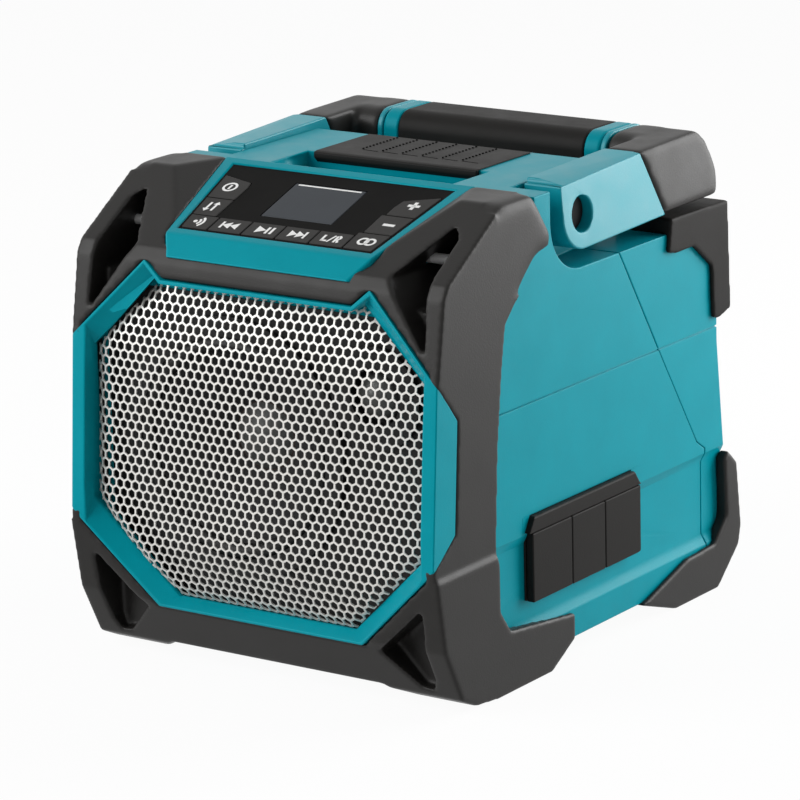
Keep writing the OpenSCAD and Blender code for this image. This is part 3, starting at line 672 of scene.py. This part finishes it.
@dataclass
class Bumpers:
    """Rubber frame over the front, with its rounder ears, and the four rear corners."""

    front_round: float = 1.2
    ears: EdgeRule = EdgeRule((76.0, 86.0), (-64.0, -20.0), (150.0, 188.0), 4.5)
    rear_round: float = 1.2
    rear_cell: float = 0.6

    def build(self) -> None:
        """Makes the five rubber mouldings."""
        SoftMoulding("front_bumper", CABINET, RUBBER, self.front_round, (self.ears,)).build()
        for height, finish in (("top", MATT_RUBBER), ("low", RUBBER)):
            for side in ("right", "left"):
                node = f"rear_bumper_{height}_{side}"
                SoftMoulding(node, CABINET, finish, self.rear_round, cell=self.rear_cell).build()


@dataclass(frozen=True)
class Bezel(Moulding):
    """The bezel: its lower and slanted bands slope in to the grille, and its sides wrap round the corners.

    Widths and depths are in millimetres, given from the lower right side round to the top.
    """

    node: str = "bezel"
    body: str = CABINET
    finish: Finish = TEAL
    width: float = 0.9
    right: tuple[Span, ...] = ((47.4, 24.0), (84.0, 59.0), (84.0, 70.0), (84.0, 112.0), (84.0, 127.0),
                               (51.5, 159.0), (43.4, 152.0))
    rims: tuple[float, ...] = (1.3, 6.5, 6.5, 6.5, 1.3, 2.0, 2.0)
    bands: tuple[float, ...] = (7.5, 6.5, 6.5, 6.5, 7.5, 2.0, 2.0)
    sill_rim: float = 1.3
    sill_band: float = 4.0
    profile: tuple[Span, ...] = ((0.0, 27.0), (-5.0, 59.0), (0.0, 127.0), (5.0, 158.0))
    wrap: tuple[float, ...] = (14.0, -4.0, 10.0, 13.0, 1.0, 14.0, 14.0)
    front: float = -104.0
    seam: float = 0.3
    sink: float = 6.0
    ring_depth: float = 7.6
    parallel: float = 1e-4

    def outline(self, widths: tuple[float, ...], sill: float) -> list[Vector]:
        """Draws the front outline, each side moved in by its own width.

        Args:
            widths: the sides' widths from the lower right one to the top.
            sill: the width of the lowest side.

        Returns:
            The corners as they stand in the front view.
        """
        corners = [Vector(point) for point in self.right]
        corners += [Vector((-point.x, point.y)) for point in reversed(corners)]
        moves = [*widths, *reversed(widths[:-1]), sill]
        sides = [(after - corner).normalized() for corner, after in ring(corners)]
        inward = [Vector((-side.y, side.x)) for side in sides]
        drawn = []
        for index, corner in enumerate(corners):
            pair = Matrix((inward[index - 1], inward[index]))
            if abs(pair.determinant()) < self.parallel:
                drawn.append(corner + inward[index] * moves[index])
            else:
                drawn.append(corner + pair.inverted() @ Vector((moves[index - 1], moves[index])))
        return drawn

    def opening(self, gap: float) -> list[Vector]:
        """Draws the border of the sheet that lies in the bezel, in millimetres."""
        return self.outline(tuple(band + gap for band in self.bands), self.sill_band + gap)

    def faces(self, outline: list[Vector], sink: float = 0.0) -> list[float]:
        """Finds how far back the front face lies along an outline, in millimetres.

        Args:
            outline: points in the front view.
            sink: how far behind the face they lie.

        Returns:
            The depths of the points.
        """
        pairs = list(zip(self.profile, self.profile[1:]))
        depths = []
        for point in outline:
            low, high = next((pair for pair in pairs if point.y <= pair[1][1]), pairs[-1])
            depths.append(low[0] + (high[0] - low[0]) * (point.y - low[1]) / (high[1] - low[1]) + sink)
        return depths

    def grow(self, bm: Mesh, loop: list[Vert], outline: list[Vector], depths: list[float]) -> list[Vert]:
        """Extrudes a closed loop and moves the new one to its place.

        Args:
            bm: the mesh.
            loop: the loop's points in order.
            outline: the new points in the front view.
            depths: their depths behind the front.

        Returns:
            The new loop.
        """
        edges = [bm.edges.get(pair) for pair in ring(loop)]
        fresh = set(bmesh.ops.extrude_edge_only(bm, edges=edges)["geom"])
        grown = []
        for vert, point, depth in zip(loop, outline, depths):
            twin = next(edge.other_vert(vert) for edge in vert.link_edges if edge.other_vert(vert) in fresh)
            twin.co = Vector((point.x, self.front + depth, point.y)) * MM
            grown.append(twin)
        return grown

    def merged(self) -> Mesh:
        """Makes the frame from its outer edge over rim and band to its back.

        Returns:
            The closed mesh.
        """
        outer = self.outline((self.seam,) * len(self.right), self.seam)
        rim = self.outline(self.rims, self.sill_rim)
        band = self.outline(self.bands, self.sill_band)
        brink = self.faces(outer)
        bm = bmesh.new()
        loop = [bm.verts.new(Vector((point.x, self.front + depth, point.y)) * MM)
                for point, depth in zip(outer, brink)]
        for pair in ring(loop):
            bm.edges.new(pair)
        for outline, depths in (
            (rim, self.faces(rim)),
            (band, self.faces(band, self.sink)),
            (band, [self.ring_depth] * len(band)),
            (outer, [*self.wrap, *reversed(self.wrap)]),
            (outer, brink),
        ):
            loop = self.grow(bm, loop, outline, depths)
        bmesh.ops.remove_doubles(bm, verts=bm.verts, dist=FINE_MERGE)
        bmesh.ops.recalc_face_normals(bm, faces=bm.faces)
        return bm


@dataclass
class Grille:
    """Perforated sheet that lies on the grille's dome and bends back along its border.

    The border is in millimetres in the front view, all else in metres and degrees.
    """

    border: list[Vector]
    pitch: float = 3.8 * MM
    row_pitch: float = 3.32 * MM
    hole: float = 1.76 * MM
    sheet: float = 0.6 * MM
    roll: float = 2.4 * MM
    roll_width: float = 5.0 * MM
    sag: float = 3.4 * MM
    sag_height: float = 24.0 * MM
    head_drop: float = 7.0 * MM
    blur: float = 7.0 * MM
    taps: tuple[float, ...] = (-1.0, -0.5, 0.0, 0.5, 1.0)
    stand_off: float = 10.0 * MM
    crease: float = 30.0

    def cell(self) -> Mesh:
        """Makes one six-sided cell of sheet with its six-sided hole.

        Returns:
            The cell, flat in the XZ plane.
        """
        bm = bmesh.new()
        turn = Matrix.Rotation(math.radians(90), 4, "X")
        for radius in (self.pitch / math.sqrt(3), self.hole):
            bmesh.ops.create_circle(bm, segments=6, radius=radius, matrix=turn)
        stretch = self.row_pitch / (self.pitch * math.sqrt(3) / 2)
        bmesh.ops.scale(bm, vec=(1, 1, stretch), verts=bm.verts)
        bmesh.ops.bridge_loops(bm, edges=bm.edges)
        return bm

    def repeat(self, bm: Mesh, steps: list[Vector]) -> None:
        """Moves all that is drawn to the first of some places and copies it to the others.

        Args:
            bm: the drawing.
            steps: the places.
        """
        first = all_of(bm)
        for step in steps[1:]:
            copy = bmesh.ops.duplicate(bm, geom=first)["geom"]
            bmesh.ops.translate(bm, vec=step, verts=verts_of(copy))
        bmesh.ops.translate(bm, vec=steps[0], verts=verts_of(first))
        bmesh.ops.remove_doubles(bm, verts=bm.verts, dist=MERGE)

    def field(self, low: Vector, high: Vector) -> Mesh:
        """Repeats the cell over a box.

        Args:
            low: the box's lowest corner.
            high: its highest corner.

        Returns:
            The field, with its cells merged.
        """
        bm = self.cell()
        middle = (low + high) / 2
        columns = math.ceil((high.x - low.x) / self.pitch / 2) + 1
        rows = math.ceil((high.z - low.z) / self.row_pitch / 2) + 1
        self.repeat(bm, [Vector((column * self.pitch, 0, 0)) for column in range(-columns, columns + 1)])
        self.repeat(bm, [middle + Vector((row % 2 / 2 * self.pitch, 0, row * self.row_pitch))
                         for row in range(-rows, rows + 1)])
        return bm

    def sheet_face(self) -> BVHTree:
        """Makes a tree of the flat area inside the border.

        Returns:
            The tree.
        """
        bm = bmesh.new()
        bm.faces.new([bm.verts.new(Vector((point.x, 0, point.y)) * MM) for point in self.border])
        tree = BVHTree.FromBMesh(bm)
        bm.free()
        return tree

    def trim(self, bm: Mesh) -> None:
        """Cuts the field along the border and drops what lies outside.

        Args:
            bm: the field.
        """
        for start, end in ring(self.border):
            side = end - start
            bmesh.ops.bisect_plane(bm, geom=all_of(bm), plane_co=Vector((start.x, 0, start.y)) * MM,
                                   plane_no=Vector((side.y, 0, -side.x)))
        inside = self.sheet_face()
        beside = []
        for face in bm.faces:
            start = face.calc_center_median() - Axis.BACK.value
            if inside.ray_cast(start, Axis.BACK.value)[0] is None:
                beside.append(face)
        bmesh.ops.delete(bm, geom=beside, context="FACES")

    def depth(self, skin: BVHTree, front: float, at: Vector) -> float:
        """Finds the dome's place behind a point of the field, with its bends eased.

        Args:
            skin: the grille's solid.
            front: a y in front of the solid.
            at: the point.

        Returns:
            The dome's y there.
        """
        found = []
        for step in self.taps:
            start = Vector((at.x, front, at.z + step * self.blur))
            place = skin.ray_cast(start, Axis.BACK.value)[0] or skin.find_nearest(start)[0]
            found.append(place.y)
        return sum(found) / len(found)

    def nearest(self, point: Vector, start: Vector, end: Vector) -> Vector:
        """Finds the point of a straight side that is nearest to a point.

        Args:
            point: the point in the front view.
            start: where the side starts.
            end: where it ends.

        Returns:
            The nearest point.
        """
        side = end - start
        share = (point - start).dot(side) / side.length_squared
        return start + side * min(1.0, max(0.0, share))

    def lay(self, bm: Mesh) -> None:
        """Lays the flat field on the solid's dome and bends its border back.

        Args:
            bm: the trimmed field.
        """
        solid = frame["nodes"]["grille"].data
        skin = BVHTree.FromPolygons([vert.co for vert in solid.vertices],
                                    [face.vertices for face in solid.polygons])
        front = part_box("grille")[0].y - self.stand_off
        sides = ring(self.border)
        foot = min(point.y for point in self.border) * MM
        head = max(point.y for point in self.border) * MM - self.head_drop
        for vert in bm.verts:
            flat = Vector((vert.co.x, vert.co.z)) / MM
            near = min((flat - self.nearest(flat, *side)).length for side in sides) * MM
            rolled = max(0.0, 1 - near / self.roll_width)
            height = vert.co.z
            sunk = max(0.0, 1 - (height - foot) / self.sag_height, 1 - (head - height) / self.sag_height)
            bend = self.roll * rolled ** 2 + self.sag * min(1.0, sunk) ** 2
            vert.co.y = self.depth(skin, front, vert.co) + bend

    def build(self) -> None:
        """Makes the domed sheet and trims it to the bezel."""
        xs, zs = ([point[axis] * MM for point in self.border] for axis in (0, 1))
        bm = self.field(Vector((min(xs), 0, min(zs))), Vector((max(xs), 0, max(zs))))
        self.trim(bm)
        self.lay(bm)
        bmesh.ops.recalc_face_normals(bm, faces=bm.faces)
        if sum(face.normal.y for face in bm.faces) > 0:
            bmesh.ops.reverse_faces(bm, faces=bm.faces)
        bmesh.ops.solidify(bm, geom=bm.faces, thickness=self.sheet)
        smooth(bm)
        piece = add_object("perforated_sheet", bm)
        piece.data.set_sharp_from_angle(angle=math.radians(self.crease))
        settle(piece, CABINET, GRILLE_PAINT, "grille")


@dataclass
class Front:
    """Teal bezel, its grille and the drivers behind it."""

    sheet_gap: float = 0.2

    def build(self) -> None:
        """Makes the bezel and the grille, and finishes the drivers."""
        bezel = Bezel()
        bezel.build()
        Grille(bezel.opening(self.sheet_gap)).build()
        dress(BLACK, "baffle", "tweeter_frame")
        dress(BLACK_STEEL, "woofer_frame")
        dress(STEEL, "woofer_magnet")
        dress(DOME, "tweeter_dome")
        dress(PAPER, "woofer_cone")
        dress(CAP, "dust_cap")
        dress(ROLL_RUBBER, "woofer_surround")
        dress(CLOTH, "woofer_spider")
        dress(COPPER, "voice_coil")


@dataclass(frozen=True, kw_only=True)
class Stroke:
    """Part of a key's mark, drawn flat about its own place, in millimetres and degrees."""

    x: float = 0.0
    y: float = 0.0
    turn: float = 0.0

    def place(self, wide: float, high: float) -> Matrix:
        """Takes a shape of unit size to this part's size, turn and place."""
        turn = Matrix.Rotation(math.radians(self.turn), 4, "Z")
        return Matrix.Translation((self.x, self.y, 0)) @ turn @ Matrix.Diagonal((wide, high, 1, 1))

    def draw(self, bm: Mesh) -> None:
        """Draws the part, which each kind does in its own way."""
        raise NotImplementedError


@dataclass(frozen=True)
class Bar(Stroke):
    """A straight bar."""

    wide: float
    high: float

    def draw(self, bm: Mesh) -> None:
        """Draws the bar."""
        place = self.place(self.wide, self.high)
        bmesh.ops.create_grid(bm, x_segments=1, y_segments=1, size=0.5, matrix=place)


@dataclass(frozen=True)
class Wedge(Stroke):
    """A triangle that points along its turn."""

    long: float
    base: float

    def draw(self, bm: Mesh) -> None:
        """Draws the triangle from a circle of three points, whose tip is turned to the right.

        Args:
            bm: the drawing.
        """
        tip = Matrix.Rotation(math.radians(-90), 4, "Z")
        place = self.place(self.long / TRIANGLE_LONG, self.base / TRIANGLE_BASE) @ tip
        bmesh.ops.create_circle(bm, cap_ends=True, segments=3, radius=1.0, matrix=place)


@dataclass(frozen=True)
class Dot(Stroke):
    """A round dot."""

    radius: float
    sides: int = 16

    def draw(self, bm: Mesh) -> None:
        """Draws the dot."""
        place = self.place(1.0, 1.0)
        bmesh.ops.create_circle(bm, cap_ends=True, segments=self.sides, radius=self.radius, matrix=place)


@dataclass(frozen=True)
class Arc(Stroke):
    """A line along an arc that starts at its turn, or a full ring."""

    radius: float
    sweep: float = 360.0
    line: float = 1.0
    steps: int = 20

    def draw(self, bm: Mesh) -> None:
        """Draws the line by spinning a short edge.

        Args:
            bm: the drawing.
        """
        centre = Vector((self.x, self.y, 0))
        ray = Matrix.Rotation(math.radians(self.turn), 3, "Z") @ Axis.RIGHT.value
        ends = [bm.verts.new(centre + ray * (self.radius + side * self.line / 2)) for side in (-1, 1)]
        edge = bm.edges.new(ends)
        bmesh.ops.spin(bm, geom=[*ends, edge], cent=centre, axis=Axis.UP.value, steps=self.steps,
                       angle=math.radians(self.sweep), use_merge=self.sweep >= 360)


MARKS: dict[MarkKind, tuple[Stroke, ...]] = {
    MarkKind.POWER: (Arc(2.7), Bar(1.0, 3.0)),
    MarkKind.TONE: (Bar(1.0, 4.4, x=-1.4, y=0.6), Wedge(2.0, 3.0, x=-1.4, y=-2.2, turn=-90),
                    Bar(1.0, 4.4, x=1.6, y=-0.6), Wedge(2.0, 3.0, x=1.6, y=2.2, turn=90)),
    MarkKind.PAIR: (Dot(0.9, x=-1.6), Arc(2.1, 100, x=-1.6, turn=-50), Arc(3.7, 100, x=-1.6, turn=-50)),
    MarkKind.BACK: (Wedge(3.6, 4.4, x=2.4, turn=180), Wedge(3.6, 4.4, x=-1.0, turn=180),
                    Bar(1.0, 4.4, x=-3.6)),
    MarkKind.PLAY: (Wedge(4.4, 4.6, x=-1.6), Bar(1.1, 4.4, x=1.9), Bar(1.1, 4.4, x=4.0)),
    MarkKind.NEXT: (Wedge(3.6, 4.4, x=-2.4), Wedge(3.6, 4.4, x=1.0), Bar(1.0, 4.4, x=3.6)),
    MarkKind.SIDE: (Bar(1.0, 4.2, x=-3.6), Bar(2.4, 1.0, x=-2.6, y=-1.6), Bar(0.8, 4.8, turn=-20),
                    Bar(1.0, 4.2, x=2.0), Arc(1.0, 180, x=2.6, y=1.05, turn=-90),
                    Bar(1.0, 2.4, x=3.2, y=-1.05, turn=28)),
    MarkKind.LINK: (Arc(2.0, x=-1.5), Arc(2.0, x=1.5)),
    MarkKind.MINUS: (Bar(5.2, 1.5),),
    MarkKind.PLUS: (Bar(5.2, 1.5), Bar(1.5, 5.2)),
}


@dataclass
class Mark:
    """A white print on a key, drawn flat in millimetres and then laid on the key's top."""

    kind: MarkKind
    thick: float = 0.05

    def build(self, top: Matrix, body: str) -> None:
        """Lays the mark on its key.

        Args:
            top: the key's top, with Z out of it.
            body: the key's body.
        """
        bm = bmesh.new()
        for stroke in MARKS[self.kind]:
            stroke.draw(bm)
        bmesh.ops.recalc_face_normals(bm, faces=bm.faces)
        for face in bm.faces:
            if face.normal.z < 0:
                face.normal_flip()
        bmesh.ops.solidify(bm, geom=bm.faces, thickness=self.thick)
        place = top @ Matrix.Scale(MM, 4) @ Matrix.Translation((0, 0, self.thick))
        bmesh.ops.transform(bm, matrix=place, verts=bm.verts)
        settle(add_object("print_" + self.kind.value, bm), body, PRINT_AND_GLINT)


@dataclass(frozen=True)
class Panel(Moulding):
    """The sloped panel, whose sill stands a little proud of the rubber under it."""

    sill_y: float = -96.0
    sill_z: float = 160.0
    sill_move: Triple = (1.0, -0.9, 2.0)

    def merged(self) -> Mesh:
        """Copies the solid's mesh and moves the sill's lower edge forward.

        Returns:
            The merged mesh.
        """
        bm = super().merged()
        out, ahead, up = self.sill_move
        for vert in bm.verts:
            if vert.co.y < self.sill_y * MM and vert.co.z < self.sill_z * MM:
                vert.co += Vector((math.copysign(out, vert.co.x), ahead, up)) * MM
        return bm


@dataclass
class Keypad:
    """Sloped panel with its mask, keys, marks and display."""

    panel_round: float = 0.8
    key_round: float = 0.3
    window_round: float = 0.35
    glint_long: float = 29.0 * MM
    glint_wide: float = 0.8 * MM
    glint_thick: float = 0.05 * MM
    glint_up: float = 11.2 * MM

    def slope(self) -> Matrix:
        """Reads the panel's slope from the way its keys travel.

        Returns:
            A turn that takes Z to the panel's outward direction.
        """
        joint = next(joint for joint in frame["joints"] if joint["name"] == "power_press")
        outward = -Vector(joint["axis"]).normalized()
        uphill = outward.cross(Axis.RIGHT.value)
        return Matrix((Axis.RIGHT.value, uphill, outward)).transposed()

    def top_of(self, node: str) -> Matrix:
        """Finds the middle of a key's top.

        Args:
            node: the key's solid.

        Returns:
            The top's place, with Z out of it.
        """
        slope = self.slope()
        local = [slope.transposed() @ vert.co for vert in frame["nodes"][node].data.vertices]
        xs, ys, zs = zip(*local)
        middle = Vector(((min(xs) + max(xs)) / 2, (min(ys) + max(ys)) / 2, max(zs)))
        return Matrix.Translation(slope @ middle) @ slope.to_4x4()

    def window_painted_glint(self) -> None:
        """Lays a thin white strip along the display window's upper edge, as a painted highlight of the light
        that the edge catches.
        """
        bm = bmesh.new()
        place = Matrix.Translation((0, self.glint_up, self.glint_thick / 2))
        place = place @ Matrix.Diagonal((self.glint_long, self.glint_wide, self.glint_thick, 1))
        bmesh.ops.create_cube(bm, size=1.0, matrix=self.top_of("lcd_window") @ place)
        settle(add_object("window_painted_glint", bm), CABINET, PRINT_AND_GLINT)

    def build(self) -> None:
        """Makes the panel, the keys with their marks and the display, with a painted highlight along its
        window's edge.
        """
        Panel("control_panel", CABINET, TEAL, self.panel_round).build()
        dress(MASK, "key_mask")
        for kind in MarkKind:
            node = "key_" + kind.value
            Moulding(node, node, KEY, self.key_round).build()
            Mark(kind).build(self.top_of(node), node)
        Moulding("lcd_window", CABINET, WINDOW, self.window_round).build()
        self.window_painted_glint()
        dress(DISPLAY, "lcd_module")
        dress(BOARD, "control_board")


@dataclass(frozen=True)
class FlatMat(Moulding):
    """The mat, pressed down until its top is nearly flush with the deck round it."""

    deck: float = 184.0
    rest: float = 0.2

    def merged(self) -> Mesh:
        """Copies the solid's mesh and presses down what stands above the deck.

        Returns:
            The merged mesh.
        """
        bm = super().merged()
        for vert in bm.verts:
            vert.co.z -= max(0.0, vert.co.z - self.deck * MM) * (1 - self.rest)
        return bm


@dataclass
class TopMat:
    """Rubber mat with rows of small studs and a thin strip at the foot of each row, both near-black as
    painted shade of the mat's pits and grooves.
    """

    edge_round: float = 0.6
    rows: int = 6
    row_step: float = 9.3 * MM
    studs: int = 11
    stud_step: float = 2.3 * MM
    stud: float = 0.5 * MM
    stud_top: float = 0.4 * MM
    stud_thick: float = 0.3 * MM
    stud_sides: int = 8
    shift: float = 5.5 * MM
    groove_shade_long: float = 7.44 * MM
    groove_shade_wide: float = 0.35 * MM
    groove_shade_thick: float = 0.075 * MM
    groove_shade_gap: float = 2.0 * MM
    groove_shade_turn: float = -4.0

    def build(self) -> None:
        """Makes the mat, its studs and its strips of painted groove shade."""
        piece = FlatMat("top_mat", CABINET, MATT_RUBBER, self.edge_round).build()
        top = max(vert.co.z for vert in piece.data.vertices)
        low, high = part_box("top_mat")
        middle = (low + high) / 2 + Vector((0, self.shift, 0))
        reach = (self.studs - 1) / 2 * self.stud_step
        bm = bmesh.new()
        for row in range(self.rows):
            for step in range(self.studs):
                x = middle.x + (row - (self.rows - 1) / 2) * self.row_step
                y = middle.y - reach + step * self.stud_step
                place = Matrix.Translation((x, y, top + self.stud_thick / 2))
                bmesh.ops.create_cone(bm, cap_ends=True, segments=self.stud_sides, radius1=self.stud,
                                      radius2=self.stud_top, depth=self.stud_thick, matrix=place)
        # Thin near-black strips that stand proud of the mat, as painted shade of its grooves.
        for row in range(self.rows):
            x = middle.x + (row - self.rows / 2 + 1) * self.row_step
            place = Matrix.Translation((x, middle.y - reach - self.groove_shade_gap, top + self.groove_shade_thick / 2))
            place = place @ Matrix.Rotation(math.radians(self.groove_shade_turn), 4, "Z")
            place = place @ Matrix.Diagonal((self.groove_shade_long, self.groove_shade_wide, self.groove_shade_thick, 1))
            bmesh.ops.create_cube(bm, size=1.0, matrix=place)
        settle(add_object("mat_pit_and_groove_shade", bm), CABINET, PAINTED_PIT_SHADE)


@dataclass
class Handle:
    """Swing handle with its soft grip and its two screws."""

    core_round: float = 0.7
    corner_round: float = 2.6
    corner_cell: float = 0.8
    screw_round: float = 0.4
    roll_round: float = 3.0
    collar_x: float = 44.0 * MM
    collar_round: float = 1.0 * MM
    beyond: float = 1.0 * MM
    same: float = 0.001 * MM

    def build(self) -> None:
        """Makes the handle's pieces."""
        Moulding("handle_core", HANDLE, HANDLE_TEAL, self.core_round).build()
        self.roll()
        for side in ("right", "left"):
            node = "grip_corner_" + side
            SoftMoulding(node, HANDLE, RUBBER, self.corner_round, cell=self.corner_cell).build()
        # The pivot screws are near-black as painted shade of their bores.
        Moulding("pivot_screws", CABINET, BORE_SHADE_SCREW, self.screw_round).build()

    def slice(self, roll: Piece, name: str, span: Span, finish: Finish, *nodes: str) -> None:
        """Makes a piece from a length of the rounded roll.

        Args:
            roll: the whole roll.
            name: the new piece's name.
            span: from where to where it goes along the roll.
            finish: its surface.
            nodes: the solids that it replaces.
        """
        bm = bmesh.new()
        bm.from_mesh(roll.data)
        for place, way in zip(span, (-1, 1)):
            cut(bm, Vector((place, 0, 0)), Vector((way, 0, 0)))
        level = [edge for edge in bm.edges if abs(edge.verts[0].co.x - edge.verts[1].co.x) < self.same]
        rims = [edge for edge in level
                if any(abs(vert.co.x - place) < self.same for vert in edge.verts for place in span)]
        bmesh.ops.bevel(bm, geom=rims, offset=self.collar_round, affect="EDGES", segments=3, profile=0.5,
                        material=-1)
        bmesh.ops.recalc_face_normals(bm, faces=bm.faces)
        smooth(bm)
        piece = add_object(name, bm)
        piece.modifiers.new("flat_faces", "WEIGHTED_NORMAL").keep_sharp = True
        settle(piece, HANDLE, finish, *nodes)

    def roll(self) -> None:
        """Makes the soft roll and the two collars that hold its ends."""
        draft = Moulding("grip_roll", HANDLE, RUBBER, self.roll_round).rounded("roll_draft")
        low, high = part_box("grip_roll")
        self.slice(draft, "dressed_grip_roll", (-self.collar_x, self.collar_x), MATT_RUBBER, "grip_roll")
        self.slice(draft, "grip_collar_right", (self.collar_x, high.x + self.beyond), TEAL)
        self.slice(draft, "grip_collar_left", (low.x - self.beyond, -self.collar_x), TEAL)
        bpy.data.objects.remove(draft)


@dataclass(frozen=True)
class PortFrame(Moulding):
    """The cover's frame, with the ends of its upper band cut aslant."""

    band_z: Span = (57.6, 63.6)
    front_y: Span = (-46.2, -42.4)
    rear_y: Span = (33.6, 29.2)

    def merged(self) -> Mesh:
        """Copies the solid's mesh and cuts the band's ends.

        Returns:
            The merged mesh.
        """
        bm = super().merged()
        low, high = self.band_z
        for (foot, head), way in ((self.front_y, -1), (self.rear_y, 1)):
            slant = Vector((0, way * (high - low), way * (foot - head)))
            cut(bm, Vector((0, foot, low)) * MM, slant)
        bmesh.ops.recalc_face_normals(bm, faces=bm.faces)
        return bm


@dataclass
class PortCover:
    """Rubber cover with three flaps over the sockets, rounder at the lower rear corner."""

    frame_round: float = 0.9
    flap_round: float = 0.6
    end: EdgeRule = EdgeRule((79.0, 86.0), (32.0, 34.0), (29.0, 31.5), 3.0)

    def build(self) -> None:
        """Makes the cover and finishes the sockets under it."""
        PortFrame("port_frame", CABINET, MATT_RUBBER, self.frame_round).build()
        for node in ("flap_usb", "flap_aux", "flap_dc"):
            Moulding(node, node, MATT_RUBBER, self.flap_round, (self.end,)).build()
        dress(STEEL, "usb_socket")
        dress(BLACK, "aux_jack", "dc_inlet")
        dress(BOARD, "port_board")


@dataclass
class Rear:
    """Battery bay with its door, and the parts behind it."""

    door_round: float = 1.0

    def build(self) -> None:
        """Makes the door and finishes the bay."""
        Moulding("battery_door", "battery_door", TEAL, self.door_round).build()
        dress(STEEL, "door_pin")
        dress(BLACK, "battery_bay")
        dress(BRASS, "battery_terminals")
        dress(BOARD, "main_board")
        dress(ALUMINIUM, "heat_sink")


@dataclass(frozen=True)
class Softbox:
    """A rectangle of even light that faces the speaker."""

    name: str
    toward: Triple
    distance: float
    width: float
    height: float
    glow: float

    def build(self, aim: Vector) -> None:
        """Hangs the softbox.

        Args:
            aim: the point that it faces.
        """
        lamp = bpy.data.lights.new(self.name, "AREA")
        lamp.shape = "RECTANGLE"
        lamp.size = self.width
        lamp.size_y = self.height
        lamp.energy = self.glow * math.pi * self.width * self.height
        box = bpy.data.objects.new(self.name, lamp)
        way = Vector(self.toward).normalized()
        turn = way.to_track_quat("Z", "Y").to_matrix().to_4x4()
        box.matrix_world = Matrix.Translation(aim + way * self.distance) @ turn
        box.visible_camera = False
        bpy.context.scene.collection.objects.link(box)


@dataclass
class Studio:
    """White floor, soft light and the camera of the photograph."""

    target: Triple = (67.4 * MM, -104.0 * MM, 120.84 * MM)
    distance: float = 1550.8 * MM
    azimuth: float = 34.994
    elevation: float = 14.904
    roll: float = -1.416
    lens: float = 193.69
    sensor: float = 36.0
    sight: float = 50.0
    floor_size: float = 12.0
    floor_shade: float = 0.8
    floor_rough: float = 0.9
    floor_glow: float = 0.95
    ambient: float = 0.3
    lamps: tuple[Softbox, ...] = (
        Softbox("front_softbox", (-0.57, -0.7, 0.43), distance=1.7, width=1.0, height=1.5, glow=5.5),
        Softbox("rear_softbox", (0.58, 0.8, 0.3), distance=0.97, width=0.8, height=0.8, glow=6.6),
    )

    def camera(self) -> None:
        """Sets the camera."""
        data = bpy.data.cameras.new("photo_camera")
        data.lens = self.lens
        data.sensor_width = self.sensor
        data.clip_end = self.sight
        eye = bpy.data.objects.new("photo_camera", data)
        az, el, roll = (math.radians(value) for value in (self.azimuth, self.elevation, self.roll))
        back = Vector((math.sin(az) * math.cos(el), -math.cos(az) * math.cos(el), math.sin(el)))
        right = Vector((math.cos(az), math.sin(az), 0))
        up = back.cross(right)
        x = right * math.cos(roll) + up * math.sin(roll)
        y = up * math.cos(roll) - right * math.sin(roll)
        turn = Matrix((x, y, back)).transposed().to_4x4()
        eye.matrix_world = Matrix.Translation(Vector(self.target) + back * self.distance) @ turn
        bpy.context.scene.collection.objects.link(eye)
        bpy.context.scene.camera = eye

    def floor(self) -> None:
        """Lays the white floor, which stays white to the camera and keeps its shadow."""
        bm = bmesh.new()
        bmesh.ops.create_grid(bm, x_segments=1, y_segments=1, size=self.floor_size / 2)
        ground = add_object("studio_floor", bm)
        material = bpy.data.materials.new("studio_floor")
        material.use_nodes = True
        tree = material.node_tree
        surface = tree.nodes["Principled BSDF"]
        set_inputs(surface, {"Base Color": (self.floor_shade,) * 3 + (1,), "Roughness": self.floor_rough,
                             "Specular IOR Level": 0.0})
        glow = add_node(tree, "Emission")
        mix = add_node(tree, "MixShader")
        share = add_node(tree, "Math", {1: self.floor_glow}, operation="MULTIPLY")
        tree.links.new(self.seen(tree), share.inputs[0])
        wire(tree, (share, "Value", mix, "Fac"), (surface, "BSDF", mix, 1), (glow, "Emission", mix, 2),
             (mix, "Shader", tree.nodes["Material Output"], "Surface"))
        ground.data.materials.append(material)

    def seen(self, tree: Tree) -> bpy.types.NodeSocket:
        """Adds the test for rays that come from the camera, a gloss or a glass.

        Args:
            tree: the node tree that the test goes into.

        Returns:
            The socket that is 1 for such a ray.
        """
        path = add_node(tree, "LightPath")
        total: bpy.types.NodeSocket = path.outputs["Is Camera Ray"]
        for ray in ("Is Glossy Ray", "Is Transmission Ray"):
            either = add_node(tree, "Math", operation="MAXIMUM")
            tree.links.new(total, either.inputs[0])
            wire(tree, (path, ray, either, 1))
            total = either.outputs["Value"]
        return total

    def sky(self) -> None:
        """Sets the white surround."""
        world = bpy.data.worlds.new("studio")
        bpy.context.scene.world = world
        world.use_nodes = True
        tree = world.node_tree
        background = tree.nodes["Background"]
        set_inputs(background, {"Color": (1, 1, 1, 1)})
        level = add_node(tree, "MapRange", {"To Min": self.ambient, "To Max": 1.0})
        tree.links.new(self.seen(tree), level.inputs["Value"])
        wire(tree, (level, "Result", background, "Strength"))

    def build(self) -> None:
        """Sets the studio up."""
        self.camera()
        self.floor()
        self.sky()
        aim = (cad_box[0] + cad_box[1]) / 2
        for lamp in self.lamps:
            lamp.build(aim)
        bpy.context.scene.view_settings.view_transform = "Standard"


def main() -> None:
    """Builds the speaker's sub-assemblies and the studio."""
    logging.basicConfig(level=logging.INFO, format="%(message)s")
    for part in (Cabinet(), Bumpers(), Front(), Keypad(), TopMat(), Handle(), PortCover(), Rear()):
        log.info("building %s", type(part).__name__)
        part.build()
    Studio().build()


if __name__ == "__main__":
    main()
